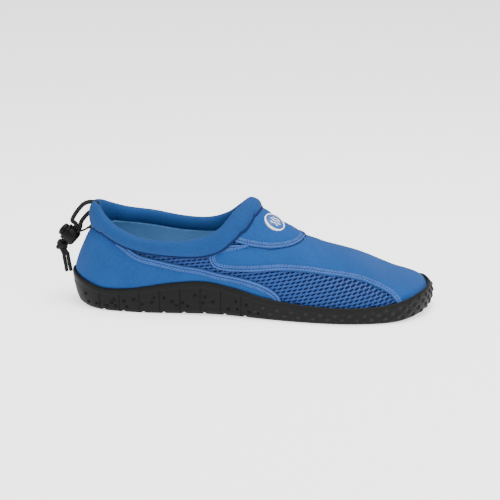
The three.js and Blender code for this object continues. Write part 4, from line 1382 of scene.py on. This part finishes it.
# Folds of the roll: row of the rim, width in rows and depth in millimetres
COLLAR_FOLDS = [
    (1.2, 0.35, 0.50), (2.1, 0.30, 0.45), (7.4, 0.35, 0.55), (8.3, 0.28, 0.50),
    (9.7, 0.30, 0.50), (10.6, 0.35, 0.45), (15.8, 0.35, 0.50), (16.9, 0.30, 0.40),
]


class WATERSHOE_OT_collar(bpy.types.Operator):
    """Thick rolled collar with the channel's mouths, a dark tube of painted shadow along its
    crease, its stitch line and hems
    """
    bl_idname = "watershoe.collar"
    bl_label = "Collar"

    def execute(self, context):
        last = 2 * RIM_ROWS - COLLAR_START
        r_line = np.linspace(COLLAR_START, last, 420)
        high = rim_point(r_line)
        tangent = unit(rim_point(r_line + 0.05) - rim_point(r_line - 0.05))
        up = high - smoothed(edge_point(r_line), 4)
        reach = (np.linalg.norm(up, axis=-1) + COLLAR_SINK) / 2
        out, up = unit(np.cross(tangent, up)), unit(up)
        middle = high - up * reach[:, None] + out * COLLAR_BULGE
        turn = np.linspace(0, 2 * np.pi, 49)
        c, s = np.cos(turn), np.sin(turn)
        full = soft(np.minimum(r_line - COLLAR_START, last - r_line), 0.0, 0.16)[:, None]
        wrinkle = np.zeros((len(r_line), len(turn)))
        for place, width, deep in COLLAR_FOLDS:
            hump = np.exp(-((r_line - place) / (width * 0.35)) ** 2)
            wrinkle += deep * MM * hump[:, None] * soft(-s, -0.4, 0.9)
        thick = COLLAR_THICKNESS / 2 * (ROLL_END + (1 - ROLL_END) * full)
        across = thick * np.where(c > 0, ROLL_OUT, 1.0) * c
        along = reach[:, None] * (0.97 + 0.03 * full) * np.sign(s) * np.abs(s) ** 0.96
        radial = out[:, None] * across[..., None] + up[:, None] * along[..., None]
        points = middle[:, None] + radial * (1 - wrinkle / (COLLAR_THICKNESS / 2))[..., None]
        points[:, -1] = points[:, 0]
        bm = patch_mesh(points, merge=0.005 * MM)
        for end, way in ((0, 1), (-1, -1)):
            rim = points[end]
            centre = rim[:-1].mean(0)
            rings = [centre + (rim - centre) * scale + tangent[end] * way * sink * MM
                     for scale, sink in CHANNEL_MOUTH]
            joined(bm, patch_mesh(np.stack(rings, 1), merge=0.005 * MM))
        closed_up(bm, fill=True)
        collar = finished("collar_roll", bm)
        dressed(collar, "collar_neoprene", "collar")

        # A near-black tube along the crease under the roll: painted shadow where the roll meets
        # the upper
        crease = smoothed(points[:, CREASE_SHADOW_COLUMN] - up * CREASE_SHADOW_SUNK, 3)
        dressed(finished("collar_crease", tube(crease, CREASE_SHADOW_RADIUS, 10)), "needle_holes")
        self.inner_stitches(points[:, STITCH_COLUMN], middle)
        self.hems(points, tangent)
        return {"FINISHED"}

    def inner_stitches(self, line, middle):
        """The row of stitches along the inside of the roll."""
        rng = np.random.default_rng(11)
        bm = bmesh.new()
        way = way_along(line)
        for k in range(int(way[-1] / INNER_PITCH)):
            i = min(int(np.searchsorted(way, (k + 0.5) * INNER_PITCH)), len(way) - 2)
            forward = unit(line[i + 1] - line[i])
            normal = unit(line[i] - middle[i])
            forward = unit(forward - normal * (forward @ normal))
            bead(bm, line[i], (forward, np.cross(normal, forward), normal),
                 (rng.uniform(0.7, 0.8), 0.28, 0.22), subdivisions=1)
        dressed(finished("collar_inner_stitches", bm), "thread")

    def hems(self, points, tangent):
        """Short stitches over the ends of the roll, around the channel's mouth."""
        bm = bmesh.new()
        for end, way in ((0, 1), (-1, -1)):
            rim = points[end, :-1]
            inward = tangent[end] * way
            for place in rim[::3]:
                spoke = unit(place - rim.mean(0))
                bead(bm, place - spoke * 0.1 * MM + inward * 2.0 * MM,
                     (inward, np.cross(spoke, inward), spoke), (2.2, 0.42, 0.36))
        dressed(finished("collar_hem_stitches", bm), "thread")


class WATERSHOE_OT_badge(bpy.types.Operator):
    """Round moulded badge: raised rim and three plain waves on a blue field"""
    bl_idname = "watershoe.badge"
    bl_label = "Badge"

    def execute(self, context):
        centre = last_point(BADGE_STATION, BADGE_LEVEL)
        normal = surface_normal(BADGE_STATION, BADGE_LEVEL)
        forward = unit(np.array((1.0, 0, 0)) - normal * normal[0])
        aside = np.cross(normal, forward)

        def bent(x, y, height):
            """A point of the badge, which follows the instep's curve loosely."""
            flat = centre + forward * x[..., None] + aside * y[..., None]
            drop = 0.4 * (x ** 2 + y ** 2) / BADGE_BEND
            return flat + normal * (GAP + PANEL + GAP * 0.4 + height - drop)[..., None]

        def ringed(profile):
            """A ring turned from radii and heights in millimetres."""
            turn = np.linspace(0, 2 * np.pi, 73)[:, None]
            r, h = np.array(profile).T * MM
            points = bent(r * np.cos(turn), r * np.sin(turn), h + 0 * turn)
            points[-1] = points[0]
            bm = patch_mesh(points, merge=0.002 * MM)
            bmesh.ops.recalc_face_normals(bm, faces=bm.faces)
            return bm

        r = BADGE / 2 / MM
        white = ringed([(r - 1.4, -0.4), (r - 1.4, 0.75), (r - 1.25, 1.1), (r - 1.0, 1.25),
                        (r - 0.6, 1.25), (r - 0.25, 1.05), (r - 0.1, 0.7), (r - 0.1, -0.4),
                        (r - 1.4, -0.4)])
        dressed(finished("badge_rim", white), "badge_white", "badge")
        field = ringed([(0.0, 0.9), (2, 0.9), (4, 0.9), (r - 1.42, 0.88), (r - 1.35, -0.3),
                        (0.0, -0.3)])
        dressed(finished("badge_field", field), "badge_blue")

        bm = bmesh.new()
        tilt = math.radians(WAVE_TILT)
        for row, length in WAVES:
            u, v = np.meshgrid(np.linspace(-1, 1, 41), np.linspace(0, 2 * np.pi, 11),
                               indexing="ij")
            thick = WAVE_THICK * np.sqrt(np.clip(1 - np.abs(u) ** 6, 0, 1))
            x0 = u * length
            y0 = row * WAVE_SPACING + WAVE_HEIGHT * np.sin(x0 * 1.3 + 0.6) + thick * np.cos(v)
            h0 = 0.95 + thick * np.clip(np.sin(v), -0.6, 1)
            x = x0 * math.cos(tilt) - y0 * math.sin(tilt)
            y = x0 * math.sin(tilt) + y0 * math.cos(tilt)
            joined(bm, patch_mesh(bent(x * MM, y * MM, h0 * MM), merge=0.002 * MM))
        bmesh.ops.recalc_face_normals(bm, faces=bm.faces)
        dressed(finished("badge_waves", bm), "badge_white")
        return {"FINISHED"}


def lock_point(along, across, y=0.0):
    """A place on the cord lock, in metres, from the button's face along its axis and across."""
    return (LOCK_FACE + LOCK_AXIS * along + LOCK_ACROSS * across + np.array((0, y, 0))) * MM


def lathe(profile, steps=48):
    """A closed turned shape on the lock's axis, from radius and place along it."""
    bm = bmesh.new()
    verts = [bm.verts.new((radius * MM, 0, along * MM)) for radius, along in profile]
    edges = [bm.edges.new(pair) for pair in zip(verts, verts[1:])]
    bmesh.ops.spin(bm, geom=verts + edges, cent=(0, 0, 0), axis=(0, 0, 1),
                   angle=2 * math.pi, steps=steps, use_merge=True)
    bmesh.ops.remove_doubles(bm, verts=bm.verts, dist=0.002 * MM)
    turned = Matrix([(*LOCK_ACROSS,), (0, 1, 0), (*LOCK_AXIS,)]).transposed().to_4x4()
    bmesh.ops.transform(bm, verts=bm.verts, matrix=Matrix.Translation(LOCK_FACE * MM) @ turned)
    bmesh.ops.recalc_face_normals(bm, faces=bm.faces)
    return bm


def catmull(points, spacing):
    """A smooth line through chosen points, with samples at a spacing."""
    points = np.array(points, float)
    padded = np.concatenate([[2 * points[0] - points[1]], points, [2 * points[-1] - points[-2]]])
    f = np.linspace(0, 1, 16, endpoint=False)[:, None]
    out = [through(*padded[k:k + 4], f) for k in range(len(points) - 1)]
    return resampled(np.concatenate(out + [points[-1:]]), spacing)[0]


def tube(path, radius, sides=14, ends=0.6):
    """A round cord along a path: the radius may vary, and the ends are rounded."""
    radius = np.broadcast_to(radius, (len(path),))
    tangent = unit(np.gradient(path, axis=0))
    up, ups = np.array((0.0, 1.0, 0.0)), []
    for direction in tangent:
        up = up - direction * (up @ direction)
        if np.linalg.norm(up) < 1e-6:
            up = np.array((1.0, 0, 0)) - direction * direction[0]
        up = unit(up)
        ups.append(up)
    caps = [(ends, 0.0), (ends * 0.95, 0.45), (ends * 0.6, 0.8)]
    rows = [(0, -on, size) for on, size in caps] + [(i, 0, 1) for i in range(len(path))] \
        + [(-1, on, size) for on, size in reversed(caps)]
    turn = np.linspace(0, 2 * np.pi, sides + 1)[:, None]
    points = np.stack([
        path[i] + tangent[i] * on * radius[i] + radius[i] * size
        * (np.cos(turn) * ups[i] + np.sin(turn) * np.cross(tangent[i], ups[i]))
        for i, on, size in rows])
    points[:, -1] = points[:, 0]
    way = way_along(path)
    uv = np.stack(np.meshgrid([way[i] for i, _, _ in rows], turn / (2 * np.pi),
                              indexing="ij")[::-1], -1)
    bm = patch_mesh(points, merge=0.003 * MM, uv=uv)
    bmesh.ops.recalc_face_normals(bm, faces=bm.faces)
    return bm


KNOT_ACROSS = -(BARREL / 2 + GAP / MM + KNOT[0] / 2)


# The two drawcord ends: from the collar's slit to the lock, where they pass through it, and
# the tails under the knot
CORD_ROUTES = {
    "upper": ([(-119.5, 0, 77.6), (-123, 0, 78.4), (-127, -0.3, 78.2), (-131, -0.6, 76.2),
               (-134.8, -0.8, 72), (-138, -0.8, 67.4), (-139.6, -0.5, 63.2)],
              SLOT_CENTRE - STRAND_SPACING / 2, 2.2,
              [(-147.4, 0, 36.6), (-146.9, 0, 33), (-146, 0, 28), (-145.3, 0, 22.8)]),
    "lower": ([(-120, 0, 71), (-123, 0, 71.4), (-126.3, 0.3, 70), (-129.8, 0.5, 66.4),
               (-133, 0.5, 62)],
              SLOT_CENTRE + STRAND_SPACING / 2, 2,
              [(-144.3, 0, 36.6), (-143.7, 0, 33), (-142.8, 0, 28), (-142.0, 0, 23.2)]),
}


def cord_path(strand, along, before, tail):
    """A drawcord end's line through its strand, the lock, the knot and its tail."""
    in_lock = [lock_point(along, place)
               for place in (BARREL / 2 + before, 0, -BARREL / 2, KNOT_ACROSS)]
    return catmull([*np.array(strand) * MM, *in_lock, *np.array(tail) * MM], CORD_STEP)


class WATERSHOE_OT_drawcord(bpy.types.Operator):
    """Drawcord ends, knot, cord lock, keeper strand and tape tab at the heel"""
    bl_idname = "watershoe.drawcord"
    bl_label = "Drawcord and lock"

    def execute(self, context):
        s = settings()
        near, far = BUTTON_OUT, BUTTON_OUT + BARREL_LENGTH
        r = BARREL / 2
        bore = BUTTON / 2 + 0.25
        barrel = finished("lock_barrel_moulded", lathe([
            (0, BUTTON_LENGTH + 0.3), (bore, BUTTON_LENGTH + 0.3), (bore, near + 0.4),
            (bore + 0.25, near), (r - 0.75, near), (r - 0.2, near + 0.3), (r, near + 0.9),
            (r, near + 2.0), (r - 0.35, near + 2.3), (r - 0.35, near + 2.9), (r, near + 3.2),
            (r, far - 2.6), (r - 0.35, far - 1.5), (r - 1.2, far - 0.6), (r - 2.6, far - 0.1),
            (0, far)]))
        modifier(barrel, "BEVEL", "edges", width=0.15 * MM, segments=2, limit_method="ANGLE")
        dressed(barrel, "lock_plastic", "lock_barrel")

        b = BUTTON / 2
        button = finished("lock_button_moulded", lathe([
            (0, -0.7), (b * 0.35, -0.62), (b * 0.62, -0.35), (b - 0.9, 0.1), (b - 0.3, 0.55),
            (b, 1.2), (b, BUTTON_LENGTH), (0, BUTTON_LENGTH)]))
        dressed(button, "lock_plastic", "lock_button")

        knot = self.knot()
        dressed(knot, "braid", "cord_knot")

        for name, route in CORD_ROUTES.items():
            path = cord_path(*route)
            radius = s.cord / 2 * (TAIL_SHARE
                                   + (1 - TAIL_SHARE) * soft(path[:, 2], 36 * MM, 44 * MM))
            piece = finished("drawcord_" + name, tube(path, radius))
            dressed(piece, "braid",
                    "drawcord_strand_" + name, "drawcord_tail_" + name)
            tuple(path[0])
            round(float(way_along(path)[-1]), 4)
        self.tab_and_keeper()
        return {"FINISHED"}

    def knot(self):
        """An overhand knot of both ends, drawn tight under the lock."""
        turn = np.linspace(0, 2 * np.pi, 121)
        x = np.sin(turn) + 2 * np.sin(2 * turn)
        y = np.cos(turn) - 2 * np.cos(2 * turn)
        z = -np.sin(3 * turn)
        size = [(side / 2 - KNOT_CORD) / part for side, part in zip(KNOT, (1.25, 2.8, 2.8))]
        centre = LOCK_FACE + LOCK_AXIS * SLOT_CENTRE + LOCK_ACROSS * KNOT_ACROSS
        path = (centre + z[:, None] * size[0] * LOCK_ACROSS + x[:, None] * size[1] * LOCK_AXIS
                + y[:, None] * size[2] * np.array((0, 1.0, 0))) * MM
        bm = tube(path, KNOT_CORD * MM, 14, 0.0)
        bmesh.ops.remove_doubles(bm, verts=bm.verts, dist=0.02 * MM)
        inner = bmesh.new()
        bead(inner, centre * MM, np.eye(3), (3.0, 3.0, 3.4), subdivisions=3)
        joined(bm, inner)
        return finished("drawcord_knot", bm)

    def tab_and_keeper(self):
        """The loop of tape under the collar, and the thin strand from it to the lock."""
        level = level_where(lambda t: last_point(0.0, t)[2] < HEEL_HEIGHT - TAB_UNDER)
        seat, normal = last_point(0.0, level), surface_normal(0.0, level)
        along = unit(np.cross((0.0, 1.0, 0.0), normal))
        if along[2] < 0:
            along = -along
        turn = np.radians(np.linspace(-80, 260, 34))[:, None, None]
        points = seat + normal * (GAP + PANEL + TAB_MIDDLE - TAB_OUT * np.cos(turn)) \
            + along * TAB_REACH * np.sin(turn) \
            + np.array((0, 1.0, 0)) * np.linspace(-TAB_HALF, TAB_HALF, 9)[:, None]
        tab = finished("heel_tab_tape", patch_mesh(points))
        walled(tab, TAPE_SKIN, 0.0)
        dressed(tab, "webbing", "heel_tab")

        on_tab = seat + normal * (GAP + PANEL + 0.9 * MM)
        off = BARREL / 2 + GAP / MM + KEEPER / 2
        on_lock = lock_point(BUTTON_OUT + BARREL_LENGTH - BARREL_ROUND - KEEPER,
                             math.sqrt(off ** 2 - KEEPER_SIDE ** 2), -KEEPER_SIDE)
        sag = (on_tab + on_lock) / 2 - np.array((0, 0, KEEPER * MM / 2))
        path = catmull([on_tab, sag, on_lock], 0.6 * MM)
        dressed(finished("keeper_strand", tube(path, KEEPER_DRAWN, 10)), "braid", "lock_keeper")


class WATERSHOE_OT_stage(bpy.types.Operator):
    """Pale studio floor, soft lights and the camera"""
    bl_idname = "watershoe.stage"
    bl_label = "Stage and camera"

    def execute(self, context):
        scene = context.scene
        bm = bmesh.new()
        bmesh.ops.create_grid(bm, x_segments=4, y_segments=4, size=6)
        floor = finished("studio_floor", bm, shade=False)
        floor.data.materials.append(material("floor"))

        world = bpy.data.worlds.new("studio")
        scene.world = world
        world.use_nodes = True
        sky = world.node_tree.nodes["Background"]
        sky.inputs["Color"].default_value = (1, 1, 1, 1)
        sky.inputs["Strength"].default_value = SKY
        for name, place, size, power in LAMPS:
            data = bpy.data.lights.new(name, "AREA")
            data.energy = power
            data.size = size
            lamp = bpy.data.objects.new(name, data)
            lamp.location = place
            aim = Vector((0, 0, 0.03)) - Vector(place)
            lamp.rotation_euler = aim.to_track_quat("-Z", "Y").to_euler()
            scene.collection.objects.link(lamp)

        azimuth, elevation = math.radians(AZIMUTH), math.radians(ELEVATION)
        back = Vector((math.sin(azimuth) * math.cos(elevation),
                       -math.cos(azimuth) * math.cos(elevation), math.sin(elevation)))
        data = bpy.data.cameras.new("camera")
        data.lens = LENS
        data.sensor_width = SENSOR
        camera = bpy.data.objects.new("camera", data)
        camera.location = AIM + back * DISTANCE
        camera.rotation_euler = (-back).to_track_quat("-Z", "Y").to_euler()
        scene.collection.objects.link(camera)
        scene.camera = camera
        return {"FINISHED"}


OPERATORS = (
    WATERSHOE_OT_stage,
    WATERSHOE_OT_drawcord,
    WATERSHOE_OT_outsole,
    WATERSHOE_OT_inside,
    WATERSHOE_OT_mesh,
    WATERSHOE_OT_panels,
    WATERSHOE_OT_seams,
    WATERSHOE_OT_collar,
    WATERSHOE_OT_badge,
)


class WATERSHOE_PT_panel(bpy.types.Panel):
    """Lists the water shoe's pieces and settings"""
    bl_label = "Water shoe"
    bl_idname = "WATERSHOE_PT_panel"
    bl_space_type = "VIEW_3D"
    bl_region_type = "UI"
    bl_category = "Water shoe"

    def draw(self, context):
        for operator in OPERATORS:
            self.layout.operator(operator.bl_idname)
        for name in WaterShoeSettings.__annotations__:
            self.layout.prop(context.scene.water_shoe, name)


CLASSES = (WaterShoeSettings, *OPERATORS, WATERSHOE_PT_panel)


def register():
    for cls in CLASSES:
        bpy.utils.register_class(cls)
    bpy.types.Scene.water_shoe = PointerProperty(type=WaterShoeSettings)


def unregister():
    del bpy.types.Scene.water_shoe
    for cls in reversed(CLASSES):
        bpy.utils.unregister_class(cls)


def main():
    register()
    for operator in OPERATORS:
        group, name = operator.bl_idname.split(".")
        getattr(getattr(bpy.ops, group), name)()


if __name__ == "__main__":
    main()
